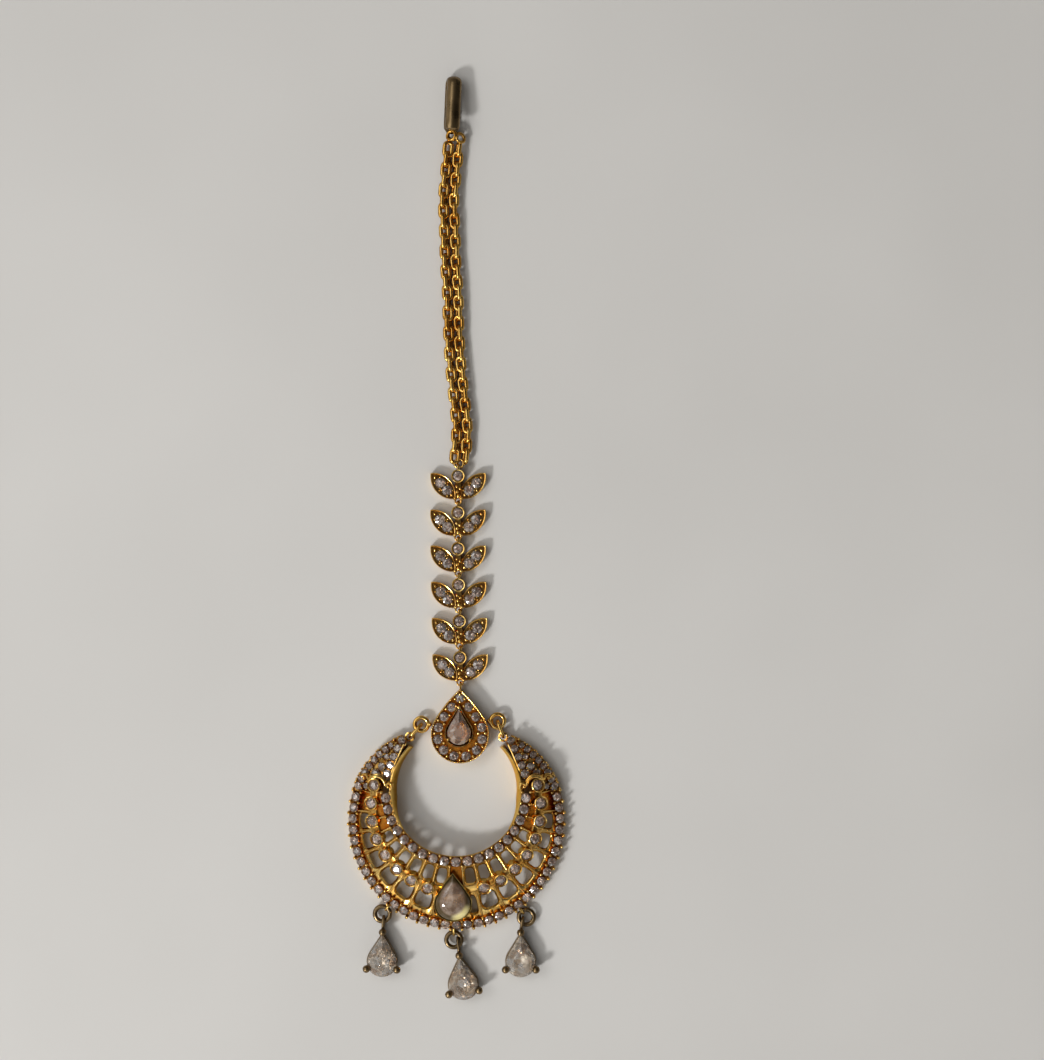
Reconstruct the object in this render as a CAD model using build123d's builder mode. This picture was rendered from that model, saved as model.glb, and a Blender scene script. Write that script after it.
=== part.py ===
# Maang tikka: a forehead jewel with a hair hook, a two-strand chain, six leaf links, a teardrop
# cluster, a crescent frame with open galleries and three pear drops.
# Millimetres. The jewel lies on its back: +X to its right, +Y towards the hair hook, +Z off the
# surface that it lies on. The origin is the bottom centre of its box.
import math
import os

from build123d import *

os.makedirs("parts", exist_ok=True)

# ---- driving dimensions -------------------------------------------------------------------
RING_WIRE = 0.55  # jump rings and the cluster's side loops
LOOP_HEIGHT = 1.0  # height of the plane in which flat eyes and rings lie
CLEARANCE = 0.10  # between a stone and its setting

HOOK_TOP = (-0.30, 74.55)  # centre of the hook's bend
HOOK_FOOT = (-0.60, 67.40)  # where the hook's lower leg turns up to its eye
HOOK_WIDTH, HOOK_THICKNESS = 2.3, 1.0
HOOK_BEND_RADIUS = 0.35  # inside the hairpin
HOOK_BEND_TURN = 171  # degrees, so that the free leg rises towards its end
HOOK_FREE_END = (0.40, -0.40, 0.16)  # how much shorter it is, then its lift-off along and up
HOOK_RISER = (-0.55, 0.90)  # start and end of the rise to the eye, along the lower leg
HOOK_EYE = (-0.62, 66.35)
HOOK_EYE_HEIGHT, HOOK_EYE_THICKNESS, HOOK_EYE_RADIUS, HOOK_EYE_HOLE = 1.25, 0.6, 1.0, 0.5
HOOK_EDGE_ROUND = 0.38  # share of the thickness taken off each long edge
HOOK_RING_CENTRE = (-0.60, 65.38)
HOOK_RING_RADIUS = 0.95

STRAND_DIAMETER = 1.60
STRAND_PITCH = 1.70  # between the two strands' centres
# The way that the pair of strands takes, from the hook's ring to the first leaf link.
STRAND_ROUTE = [
    (-0.45, 63.85),
    (-0.95, 59.90),
    (-1.30, 55.60),
    (-1.12, 50.40),
    (-1.00, 45.40),
    (-0.66, 40.90),
    (-0.50, 35.60),
    (-0.24, 29.60),
    (0.40, 23.20),
    (0.88, 18.00),
    (0.62, 13.45),
]
CHAIN_RING_CENTRE = (0.40, 12.30)
CHAIN_RING_RADIUS, CHAIN_RING_WIRE = 0.75, 0.40

# Centres of the round bezels of the six leaf links.
LEAF_LINKS = [
    (0.28, 10.20),
    (0.25, 4.16),
    (0.28, -1.77),
    (0.36, -7.74),
    (0.49, -13.70),
    (0.60, -19.72),
]
LEAF_LENGTH, LEAF_WIDTH = 5.9, 2.9
LEAF_BASE = (0.42, -3.80)  # from the bezel's centre
LEAF_TIP = (4.55, 0.45)
LEAF_RIM, LEAF_FLOOR, LEAF_SEAT = 1.55, 1.15, 0.65  # heights
LEAF_RIM_WIDTH = 0.30
LEAF_STONES = [(3.05, -1.00), (1.80, -2.25)]
LEAF_STONE_RADIUS = 0.75
LEAF_BEAD, LEAF_BEAD_RADIUS, LEAF_BEAD_HEIGHT = (3.95, -0.10), 0.34, 1.30
HEART_BEAD_Y, HEART_BEAD_RADIUS, HEART_BEAD_HEIGHT = -3.35, 0.42, 1.45  # where the leaves meet
STEM_WIDTH, STEM_LOW, STEM_HIGH, STEM_END = 1.1, 0.35, 1.10, -3.7
BEZEL_RADIUS, BEZEL_HEIGHT, BEZEL_SEAT = 1.12, 2.05, 1.20
BEZEL_STONE_RADIUS = 0.83
LINK_EYE_DROP = 4.10  # from the bezel's centre down to the eye's centre
LINK_EYE_RADIUS, LINK_EYE_HOLE, LINK_EYE_THICKNESS = 0.64, 0.38, 0.40
LINK_EYE_NECK = (1.2, 0.7)  # the strip that holds the eye: its width and length
LINK_LOOP_RISE = 1.25  # from the bezel's centre up to the loop's centre
LINK_LOOP_RADIUS, LINK_LOOP_WIRE = 0.60, 0.36

HALO_CENTRE = (0.60, -32.30)  # of the round end
HALO_WIDTH, HALO_TIP = 9.6, 7.45  # HALO_TIP is from the round end's centre to the point
HALO_HEIGHT, HALO_RIM_WIDTH, HALO_FLOOR = 2.40, 0.30, 1.95
HALO_STONE_CENTRE = (0.45, -32.05)
HALO_STONE_WIDTH, HALO_STONE_TIP = 3.9, 4.05
HALO_STONE_BASE, HALO_STONE_GIRDLE, HALO_STONE_TOP = 1.35, 2.75, 3.55
HALO_CUP_BASE, HALO_CUP_TOP = 0.50, 2.85
CUP_WALL = 0.32
CUP_POINT_SHARE = 0.75  # a wall's reach beyond the point, as a share of both side walls
SIDE_LOOP_CENTRES = [(-5.80, -30.75), (6.75, -30.20)]
SIDE_LOOP_RADIUS, SIDE_LOOP_HEIGHT = 1.02, 1.15
HALO_LOOP_X = 0.66  # the loop that hangs from the last leaf link
SIDE_LUG = (0.9, 0.7, 0.5)  # solder between a side loop and the cluster
TIP_EYES = [(-7.70, -32.80), (7.70, -32.80)]

OUTER_CENTRE, OUTER_RADIUS = (0, -46.70), 17.95
OUTER_RAIL_WIDTH, OUTER_RAIL_HEIGHT = 1.45, 1.30
OUTER_RAIL_SWEEP = 110.0  # each way from straight down
OPENING_CENTRE, OPENING_RADIUS = (0, -41.50), 9.90
OPENING_SWEEP = 134.0
INNER_WALL_TOP, INNER_RAIL_RADIUS = 10.60, 12.35
INNER_RAIL_LOW, INNER_RAIL_HEIGHT = 3.50, 4.40
RIDGE_CENTRE, RIDGE_RADIUS = (0, -44.10), 13.55
RIDGE_BAND, RIDGE_MIDDLE, RIDGE_DEPTH = 1.30, 3.65, 0.90
RIDGE_TILT = 22.0  # degrees that the ridge and its bezels lean outwards
RIDGE_BEZELS, RIDGE_FIRST, RIDGE_PITCH = 8, 19.4, 12.3  # a side, in degrees
RIDGE_BEZEL_RADIUS = 1.22
# Heights along the lean, from the ridge's middle.
RIDGE_BEZEL_LOW, RIDGE_BEZEL_SEAT, RIDGE_BEZEL_TOP = -0.70, 0.35, 1.25
RIDGE_STONE_RADIUS = 0.92
OUTER_BEVEL, WALL_THICKNESS = 0.25, 0.60
WALL_START = 82.0  # the opening has a wall only beside the arms, from here, in degrees
SPOKE_WIDTH, SPOKE_DEPTH = 0.45, 0.80
INNER_SPOKES, INNER_SPOKE_PITCH = 9, 9.45  # a side, in degrees about the opening's centre
SPOKE_BITE = 0.25  # how far a spoke's ends sink into what they join
# The paved arm ends rise inwards in terraces: how far each stands back from the outer edge, its
# share of the blunt end that it gives up, and its height.
TIP_TERRACES = [(0.0, 0.0, 1.90), (1.2, 0.4, 2.80), (2.3, 0.8, 3.60)]
# The arm ends come down to their points under this slope, given as (y, height) of two points.
TIP_SLOPE = [(-38.00, 4.55), (-31.00, 2.60)]
ARM_END_OUTER_ANGLE, ARM_END_INNER_ANGLES = 106.0, (121.0, 104.0)
# Corners of a paved arm end: the middle of its outer edge, and the two ends of its blunt point.
TIP_BULGE, TIP_CORNER, TIP_BLUNT = (13.75, -35.85), (9.05, -32.55), (8.15, -33.75)
TIP_NECK, TIP_NECK_RADIUS = (8.25, -33.45), 0.70
TIP_EYE_RADIUS, TIP_EYE_HOLE, TIP_EYE_THICKNESS = 0.85, 0.48, 0.50
COLLAR_ANGLE, COLLAR_RADIUS, COLLAR_LOW, COLLAR_TOP = 106.5, 1.85, 0.95, 3.95

CABOCHON_CENTRE = (-0.50, -59.95, 4.05)  # of the cup's rim
CABOCHON_TILT = 15.0  # degrees that the cup leans outwards
CABOCHON_WIDTH, CABOCHON_TIP = 5.50, 4.45
# Heights along the lean, from the cup's rim.
CABOCHON_CUP_BASE, CABOCHON_CUP_FLOOR, CABOCHON_GIRDLE, CABOCHON_TOP = -3.10, -2.40, -0.80, 0.45

DROP_RING_RADIUS = 1.38
DROP_RING_WIRE = 0.50
STAPLE_RADIUS, STAPLE_WIRE, STAPLE_OFFSET = 0.72, 0.44, 0.10
# A row for each drop: the staple's angle from straight down, the ring's distance from the outer
# centre, the bail's upper end, the stone's round end and the stone's lean in degrees.
DROPS = [
    {"angle": -38.6, "ring": 19.60, "bail": (-12.00, -62.45), "round": (-12.25, -69.80), "lean": -1.5},
    {"angle": -1.3, "ring": 19.60, "bail": (0.20, -65.95), "round": (1.12, -73.60), "lean": 7.5},
    {"angle": 36.0, "ring": 19.60, "bail": (10.95, -62.65), "round": (10.60, -69.85), "lean": 0.0},
]
DROP_WIDTH, DROP_TIP = 5.0, 4.75
DROP_BASE, DROP_GIRDLE, DROP_TABLE = 0.55, 2.20, 3.15
DROP_RAIL_HEIGHT, DROP_RAIL_OUTER, DROP_RAIL_INNER = 1.25, 0.97, 0.74
DROP_PRONG_RADIUS, DROP_PRONG_TOP, DROP_BALL_RADIUS = 0.32, 2.60, 0.45
# Each claw's angle from straight down, and how far the stone reaches there.
DROP_PRONGS = [(180.0, DROP_TIP), (66.0, DROP_WIDTH / 2), (-66.0, DROP_WIDTH / 2)]
DROP_BAIL_HEIGHT, DROP_BAIL_WIRE = 1.95, 0.50
DROP_BAIL_OVERLAP = 0.20  # how far the bail's lower end passes the stone's point
PRONG_FOOT, PRONG_GAP = 0.30, 0.06
BRACE_WIDTH, BRACE_DEPTH, BRACE_LENGTH, BRACE_HEIGHT = 0.55, 0.80, 0.90, 0.75
PEAR_SHOULDER = 32.0  # degrees above the round end's centre where its sides leave the circle
GIRDLE_DEPTH = 0.15


# ---- shapes used more than once -----------------------------------------------------------
def polar(centre, radius, degrees_from_down):
    """A point on a circle, by its angle from straight down, positive to the right."""
    a = math.radians(degrees_from_down)
    return (centre[0] + radius * math.sin(a), centre[1] - radius * math.cos(a))


def pear_face(width, tip, mode=Mode.ADD):
    """A pear outline whose round end is centred on the origin and whose point is at (0, tip)."""
    with BuildLine() as outline:
        round_end = CenterArc((0, 0), width / 2, PEAR_SHOULDER, -(180 + 2 * PEAR_SHOULDER))
        TangentArc(round_end @ 1, (0, tip), tangent=round_end % 1)
        TangentArc(round_end @ 0, (0, tip), tangent=(round_end % 0) * -1)
    make_face(outline.edges(), mode=mode)


def around(width, tip, wall):
    """The width and tip of a pear that lies a wall's thickness outside another."""
    return width + 2 * wall, tip + 2 * wall * CUP_POINT_SHARE


def pear_plane(centre, height, lean=0.0, tilt=0.0):
    """A plane above a centre, for a pear that leans its round end to +X and tilts towards it."""
    return Plane(origin=Vector(*centre)).rotated((tilt, 0, lean)).offset(height)


def pear_stone(centre, width, tip, levels, lean=0.0, tilt=0.0):
    """A cut stone: pear outlines of the given scales at the given heights, lofted together."""
    with BuildPart() as stone:
        for (z_low, low), (z_high, high) in zip(levels, levels[1:]):
            with BuildSketch(pear_plane(centre, z_low, lean, tilt)):
                pear_face(width * low, tip * low)
            with BuildSketch(pear_plane(centre, z_high, lean, tilt)):
                pear_face(width * high, tip * high)
            loft(ruled=True)
    return stone


def upright_link(start, end, height, wire):
    """An oval wire link that stands on edge between two points, given at its wire's centre."""
    length = math.dist(start, end)
    bend = (height - wire) / 2
    straight = length / 2 - bend
    middle = ((start[0] + end[0]) / 2, (start[1] + end[1]) / 2, height / 2)
    along = (end[0] - start[0], end[1] - start[1], 0)
    side = Plane(origin=middle, x_dir=along, z_dir=(along[1], -along[0], 0))
    with BuildPart() as link:
        with BuildLine(side) as path:
            Line((-straight, bend), (straight, bend))
            ThreePointArc((straight, bend), (straight + bend, 0), (straight, -bend))
            Line((straight, -bend), (-straight, -bend))
            ThreePointArc((-straight, -bend), (-straight - bend, 0), (-straight, bend))
        with BuildSketch(Plane(origin=path.line @ 0, z_dir=path.line % 0)):
            Circle(wire / 2)
        sweep(path=path.line)
    return link


def flat_ring(centre, radius, wire, height=LOOP_HEIGHT):
    with BuildPart(Plane(origin=(*centre, height))) as ring:
        Torus(radius, wire / 2)
    return ring


def keep(part, name):
    part.part.label = name
    export_step(part.part, f"parts/{name}.step")


# ---- hair hook and its ring ---------------------------------------------------------------
def make_hair_hook():
    """A strip bent into a hairpin in an upright plane, with a flat eye on its lower leg."""
    foot, bend = Vector(*HOOK_FOOT, 0), Vector(*HOOK_TOP, 0)
    along = (bend - foot).normalized()
    run = (bend - foot).length
    side = Plane(origin=foot, x_dir=along, z_dir=along.cross(Vector(0, 0, 1)))
    half = HOOK_THICKNESS / 2
    shortened, end_along, end_up = HOOK_FREE_END
    with BuildPart() as hook:
        with BuildSketch(side):
            with BuildLine():
                riser = Line((HOOK_RISER[0], HOOK_EYE_HEIGHT), (HOOK_RISER[1], half))
                leg = Line(riser @ 1, (run, half))
                turn = JernArc(leg @ 1, leg % 1, HOOK_BEND_RADIUS + half, HOOK_BEND_TURN)
                free_leg = Line(turn @ 1, turn @ 1 + (turn % 1) * (run + shortened))
                Line(free_leg @ 1, free_leg @ 1 + Vector(end_along, end_up))
                offset(amount=half, kind=Kind.ARC)
            make_face()
        extrude(amount=HOOK_WIDTH / 2, both=True)
        leg_edges = hook.edges().filter_by(GeomType.LINE).filter_by(lambda e: e.length > run / 2)
        fillet(leg_edges, HOOK_THICKNESS * HOOK_EDGE_ROUND)
        with BuildSketch(Plane.XY.offset(HOOK_EYE_HEIGHT - HOOK_EYE_THICKNESS / 2)):
            with Locations(HOOK_EYE):
                Circle(HOOK_EYE_RADIUS)
        extrude(amount=HOOK_EYE_THICKNESS)
        with BuildSketch():
            with Locations(HOOK_EYE):
                Circle(HOOK_EYE_HOLE)
        extrude(amount=2 * HOOK_EYE_HEIGHT, mode=Mode.SUBTRACT)
    return hook


keep(make_hair_hook(), "hair_hook")

with BuildPart() as hook_ring:
    ring_height = HOOK_RING_RADIUS + RING_WIRE / 2
    with Locations(Plane(origin=(*HOOK_RING_CENTRE, ring_height), z_dir=(1, 0, 0))):
        Torus(HOOK_RING_RADIUS, RING_WIRE / 2)
keep(hook_ring, "hook_ring")


# ---- the two strands of fine chain --------------------------------------------------------
def strand_radii(points):
    """The largest bend at each inner point: 0.45 of the shorter run over tan(half the turn)."""
    radii = []
    for before, here, after in zip(points, points[1:], points[2:]):
        turn = (here - before).get_angle(after - here)
        shorter = min((here - before).length, (after - here).length)
        radii.append(0.45 * shorter / math.tan(math.radians(turn / 2)))
    return radii


def make_strand(name, side):
    points = [Vector(x + side * STRAND_PITCH / 2, y, STRAND_DIAMETER / 2) for x, y in STRAND_ROUTE]
    radii = strand_radii(points)
    with BuildPart() as strand:
        with BuildLine() as path:
            route = FilletPolyline(*points, radius=radii)
        with BuildSketch(Plane(origin=route @ 0, z_dir=route % 0)):
            Circle(STRAND_DIAMETER / 2)
        sweep(path=path.line)
    ideal = math.pi * (STRAND_DIAMETER / 2) ** 2 * sum(edge.length for edge in path.edges())
    print(name, "bend radii", [round(r, 1) for r in radii])
    print(name, "volume over section times length", round(strand.part.volume / ideal, 4))
    return strand


for strand_name, strand_side in (("chain_left_strand", -1), ("chain_right_strand", 1)):
    keep(make_strand(strand_name, strand_side), strand_name)
keep(flat_ring(CHAIN_RING_CENTRE, CHAIN_RING_RADIUS, CHAIN_RING_WIRE), "chain_end_ring")


# ---- leaf links ---------------------------------------------------------------------------
def leaf_outline(side, inset=0.0):
    """A pointed leaf: the common part of two equal circles, turned along its own axis."""
    base = Vector(side * LEAF_BASE[0], LEAF_BASE[1])
    tip = Vector(side * LEAF_TIP[0], LEAF_TIP[1])
    middle, axis = (base + tip) * 0.5, (tip - base).normalized()
    across = Vector(-axis.Y, axis.X)
    half, bulge = LEAF_LENGTH / 2 - inset * LEAF_LENGTH / LEAF_WIDTH, LEAF_WIDTH / 2 - inset
    with BuildLine() as outline:
        ThreePointArc(middle - axis * half, middle + across * bulge, middle + axis * half)
        ThreePointArc(middle - axis * half, middle - across * bulge, middle + axis * half)
    make_face(outline.edges())


def upright_loop(centre, radius, wire, heading=(0, 1)):
    """A soldered wire loop that stands on edge along a heading, added to the part being built."""
    across = (heading[1], -heading[0], 0)
    with Locations(Plane(origin=(*centre, LOOP_HEIGHT), z_dir=across)):
        Torus(radius, wire / 2)


def make_leaf_link(x, y):
    at = Plane(origin=(x, y, 0))
    with BuildPart() as link:
        for side in (-1, 1):
            with BuildSketch(at):
                leaf_outline(side)
            extrude(amount=LEAF_RIM)
            with BuildSketch(at.offset(LEAF_FLOOR)):
                leaf_outline(side, LEAF_RIM_WIDTH)
            extrude(amount=LEAF_RIM, mode=Mode.SUBTRACT)
            with BuildSketch(at.offset(LEAF_SEAT)):
                with Locations(*((side * sx, sy) for sx, sy in LEAF_STONES)):
                    Circle(LEAF_STONE_RADIUS)
            extrude(amount=LEAF_RIM, mode=Mode.SUBTRACT)
            with Locations((x + side * LEAF_BEAD[0], y + LEAF_BEAD[1], LEAF_BEAD_HEIGHT)):
                Sphere(LEAF_BEAD_RADIUS)
        with Locations((x, y + HEART_BEAD_Y, HEART_BEAD_HEIGHT)):
            Sphere(HEART_BEAD_RADIUS)
        # The stem carries the bezel and runs down to the flat eye.
        with BuildSketch(at.offset(STEM_LOW)):
            with Locations((0, STEM_END / 2)):
                Rectangle(STEM_WIDTH, -STEM_END)
        extrude(amount=STEM_HIGH - STEM_LOW)
        with BuildSketch(at.offset(LOOP_HEIGHT - LINK_EYE_THICKNESS / 2)):
            with Locations((0, -LINK_EYE_DROP)):
                Circle(LINK_EYE_RADIUS)
            with Locations((0, -LINK_EYE_DROP + LINK_EYE_NECK[1] * 0.8)):
                Rectangle(*LINK_EYE_NECK)
        extrude(amount=LINK_EYE_THICKNESS)
        with BuildSketch(at):
            Circle(BEZEL_RADIUS)
        extrude(amount=BEZEL_HEIGHT)
        upright_loop((x, y + LINK_LOOP_RISE), LINK_LOOP_RADIUS, LINK_LOOP_WIRE)
        with BuildSketch(at.offset(BEZEL_SEAT)):
            Circle(BEZEL_STONE_RADIUS)
        extrude(amount=BEZEL_HEIGHT, mode=Mode.SUBTRACT)
        with BuildSketch(at):
            with Locations((0, -LINK_EYE_DROP)):
                Circle(LINK_EYE_HOLE)
        extrude(amount=BEZEL_HEIGHT, mode=Mode.SUBTRACT)
    return link


for number, (link_x, link_y) in enumerate(LEAF_LINKS, start=1):
    keep(make_leaf_link(link_x, link_y), f"leaf_link_{number}")


# ---- teardrop cluster ---------------------------------------------------------------------
def make_halo_setting():
    with BuildPart() as halo:
        with BuildSketch(pear_plane(HALO_CENTRE, 0)):
            pear_face(HALO_WIDTH, HALO_TIP)
        extrude(amount=HALO_HEIGHT)
        with BuildSketch(pear_plane(HALO_CENTRE, HALO_FLOOR)):
            rim = 2 * HALO_RIM_WIDTH
            pear_face(HALO_WIDTH - rim, HALO_TIP - CUP_POINT_SHARE * rim)
        extrude(amount=HALO_HEIGHT, mode=Mode.SUBTRACT)
        with BuildSketch(pear_plane(HALO_STONE_CENTRE, HALO_CUP_BASE)):
            pear_face(*around(HALO_STONE_WIDTH, HALO_STONE_TIP, CLEARANCE + CUP_WALL))
        extrude(amount=HALO_CUP_TOP - HALO_CUP_BASE)
        with BuildSketch(pear_plane(HALO_STONE_CENTRE, HALO_STONE_BASE - CLEARANCE)):
            pear_face(*around(HALO_STONE_WIDTH, HALO_STONE_TIP, CLEARANCE))
        extrude(amount=HALO_CUP_TOP, mode=Mode.SUBTRACT)
        for x, y in SIDE_LOOP_CENTRES:
            with Locations((x, y, SIDE_LOOP_HEIGHT)):
                Torus(SIDE_LOOP_RADIUS, RING_WIRE / 2)
            inward = SIDE_LOOP_RADIUS + SIDE_LUG[0] / 2
            with Locations((x + math.copysign(inward, HALO_CENTRE[0] - x), y, SIDE_LOOP_HEIGHT)):
                Box(*SIDE_LUG)
        hang = LEAF_LINKS[-1][1] - LINK_EYE_DROP - LINK_LOOP_RADIUS
        upright_loop((HALO_LOOP_X, hang), LINK_LOOP_RADIUS, LINK_LOOP_WIRE)
    return halo


keep(make_halo_setting(), "halo_setting")
halo_levels = [
    (HALO_STONE_BASE, 0.25),
    (HALO_STONE_GIRDLE - GIRDLE_DEPTH, 1.0),
    (HALO_STONE_GIRDLE, 1.0),
    (HALO_STONE_TOP, 0.58),
]
keep(pear_stone(HALO_STONE_CENTRE, HALO_STONE_WIDTH, HALO_STONE_TIP, halo_levels), "halo_stone")

link_height = 2 * SIDE_LOOP_HEIGHT
for link_name, loop_centre, eye_centre in zip(
    ("side_link_left", "side_link_right"), SIDE_LOOP_CENTRES, TIP_EYES
):
    keep(upright_link(loop_centre, eye_centre, link_height, RING_WIRE), link_name)


# ---- crescent frame -----------------------------------------------------------------------
def ray_to_circle(start, degrees_from_down, centre, radius):
    """Where a ray from a point, at an angle from straight down, leaves a circle around it."""
    a = math.radians(degrees_from_down)
    dx, dy = math.sin(a), -math.cos(a)
    ox, oy = start[0] - centre[0], start[1] - centre[1]
    along = -(ox * dx + oy * dy)
    reach = along + math.sqrt(along**2 - (ox**2 + oy**2 - radius**2))
    return (start[0] + reach * dx, start[1] + reach * dy)


def arc_band(centre_y, first_deg, last_deg, section):
    """Turns an upright section, given as (radius, height) corners, between two angles."""
    out_x, out_y = polar((0, 0), 1, first_deg)
    start = Plane(origin=(0, centre_y, 0), x_dir=(out_x, out_y, 0), z_dir=(out_y, -out_x, 0))
    with BuildSketch(start) as profile:
        Polygon(*section, align=None)
    axis = Axis((0, centre_y, 0), (0, 0, 1))
    revolve(profile.sketch, axis=axis, revolution_arc=last_deg - first_deg)


def spoke(start, end):
    """A square bar between two (x, y, z) points."""
    start, end = Vector(*start), Vector(*end)
    along = end - start
    across = along.cross(Vector(0, 0, 1))
    with BuildSketch(Plane(origin=start, x_dir=across, z_dir=along)) as section:
        Rectangle(SPOKE_WIDTH, SPOKE_DEPTH)
    extrude(section.sketch, amount=along.length)


def disc(at, radius, height, mode=Mode.ADD):
    """Adds a round disc that stands on a plane to the part being built, or takes it out."""
    with BuildSketch(at) as face:
        Circle(radius)
    extrude(face.sketch, amount=height, mode=mode)


def level(centre, height):
    """A level plane at a height."""
    return Plane(origin=(*centre, height))


def arm_end_outline(side, inset, share):
    """One terrace of an arm's paved end, from the collar up to its blunt point."""
    start = polar(OUTER_CENTRE, OUTER_RADIUS - inset, side * ARM_END_OUTER_ANGLE)
    bulge = (side * (TIP_BULGE[0] - 0.8 * inset), TIP_BULGE[1] - 0.6 * inset)
    blunt = Vector(side * TIP_BLUNT[0], TIP_BLUNT[1])
    corner = Vector(side * TIP_CORNER[0], TIP_CORNER[1])
    corner += (blunt - corner) * share
    inner_middle, inner_end = (
        polar(OPENING_CENTRE, INNER_WALL_TOP, side * angle) for angle in ARM_END_INNER_ANGLES
    )
    with BuildLine() as outline:
        ThreePointArc(start, bulge, corner)
        Line(corner, blunt)
        ThreePointArc(blunt, inner_middle, inner_end)
        Line(inner_end, start)
    make_face(outline.edges())


def ridge_bezel_plane(number, side, height):
    """The plane at a height along a ridge bezel's own leaning axis."""
    angle = side * (RIDGE_FIRST + number * RIDGE_PITCH)
    lean = math.radians(RIDGE_TILT)
    out_x, out_y = polar((0, 0), math.sin(lean), angle)
    centre = (*polar(RIDGE_CENTRE, RIDGE_RADIUS, angle), RIDGE_MIDDLE)
    return Plane(origin=centre, z_dir=(out_x, out_y, math.cos(lean))).offset(height)


def ridge_edge_height(way):
    """The height of the middle of the ridge's inner (-1) or outer (1) edge."""
    return RIDGE_MIDDLE - way * RIDGE_BAND / 2 * math.tan(math.radians(RIDGE_TILT))


def add_rails():
    """The outer rail, the high inner rail, its sloping walls beside the arms, and the ridge."""
    outer_inside = OUTER_RADIUS - OUTER_RAIL_WIDTH
    outer_section = [
        (outer_inside, 0),
        (OUTER_RADIUS - OUTER_BEVEL, 0),
        (OUTER_RADIUS, OUTER_RAIL_HEIGHT),
        (outer_inside, OUTER_RAIL_HEIGHT),
    ]
    arc_band(OUTER_CENTRE[1], -OUTER_RAIL_SWEEP, OUTER_RAIL_SWEEP, outer_section)
    inner_section = [
        (INNER_WALL_TOP, INNER_RAIL_LOW),
        (INNER_RAIL_RADIUS, INNER_RAIL_LOW),
        (INNER_RAIL_RADIUS, INNER_RAIL_HEIGHT),
        (INNER_WALL_TOP, INNER_RAIL_HEIGHT),
    ]
    arc_band(OPENING_CENTRE[1], -OPENING_SWEEP, OPENING_SWEEP, inner_section)
    wall_top = (INNER_RAIL_LOW + INNER_RAIL_HEIGHT) / 2
    wall_section = [
        (OPENING_RADIUS, 0),
        (OPENING_RADIUS + WALL_THICKNESS, 0),
        (INNER_WALL_TOP + WALL_THICKNESS, wall_top),
        (INNER_WALL_TOP, wall_top),
    ]
    arc_band(OPENING_CENTRE[1], -OPENING_SWEEP, -WALL_START, wall_section)
    arc_band(OPENING_CENTRE[1], WALL_START, OPENING_SWEEP, wall_section)
    ridge_section = [
        (RIDGE_RADIUS + way * RIDGE_BAND / 2, ridge_edge_height(way) + up * RIDGE_DEPTH / 2)
        for way, up in ((-1, -1), (1, -1), (1, 1), (-1, 1))
    ]
    ridge_sweep = RIDGE_FIRST + (RIDGE_BEZELS - 1) * RIDGE_PITCH
    arc_band(RIDGE_CENTRE[1], -ridge_sweep, ridge_sweep, ridge_section)


def add_galleries(side):
    """The spokes of one half, from the inner rail up to the ridge and down to the outer rail."""
    inside, outside = RIDGE_RADIUS - RIDGE_BAND / 2, RIDGE_RADIUS + RIDGE_BAND / 2
    for i in range(INNER_SPOKES):
        angle = side * (i + 0.5) * INNER_SPOKE_PITCH
        foot = polar(OPENING_CENTRE, INNER_RAIL_RADIUS - SPOKE_BITE, angle)
        head = ray_to_circle(OPENING_CENTRE, angle, RIDGE_CENTRE, inside + SPOKE_BITE)
        spoke((*foot, (INNER_RAIL_LOW + INNER_RAIL_HEIGHT) / 2), (*head, ridge_edge_height(-1)))
    outer_inside = OUTER_RADIUS - OUTER_RAIL_WIDTH
    for i in range(RIDGE_BEZELS):
        angle = side * (RIDGE_FIRST + (i - 0.5) * RIDGE_PITCH)
        head = polar(RIDGE_CENTRE, outside - SPOKE_BITE, angle)
        foot = ray_to_circle(RIDGE_CENTRE, angle, OUTER_CENTRE, outer_inside + SPOKE_BITE)
        spoke((*head, ridge_edge_height(1)), (*foot, OUTER_RAIL_HEIGHT - SPOKE_DEPTH / 2))


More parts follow.
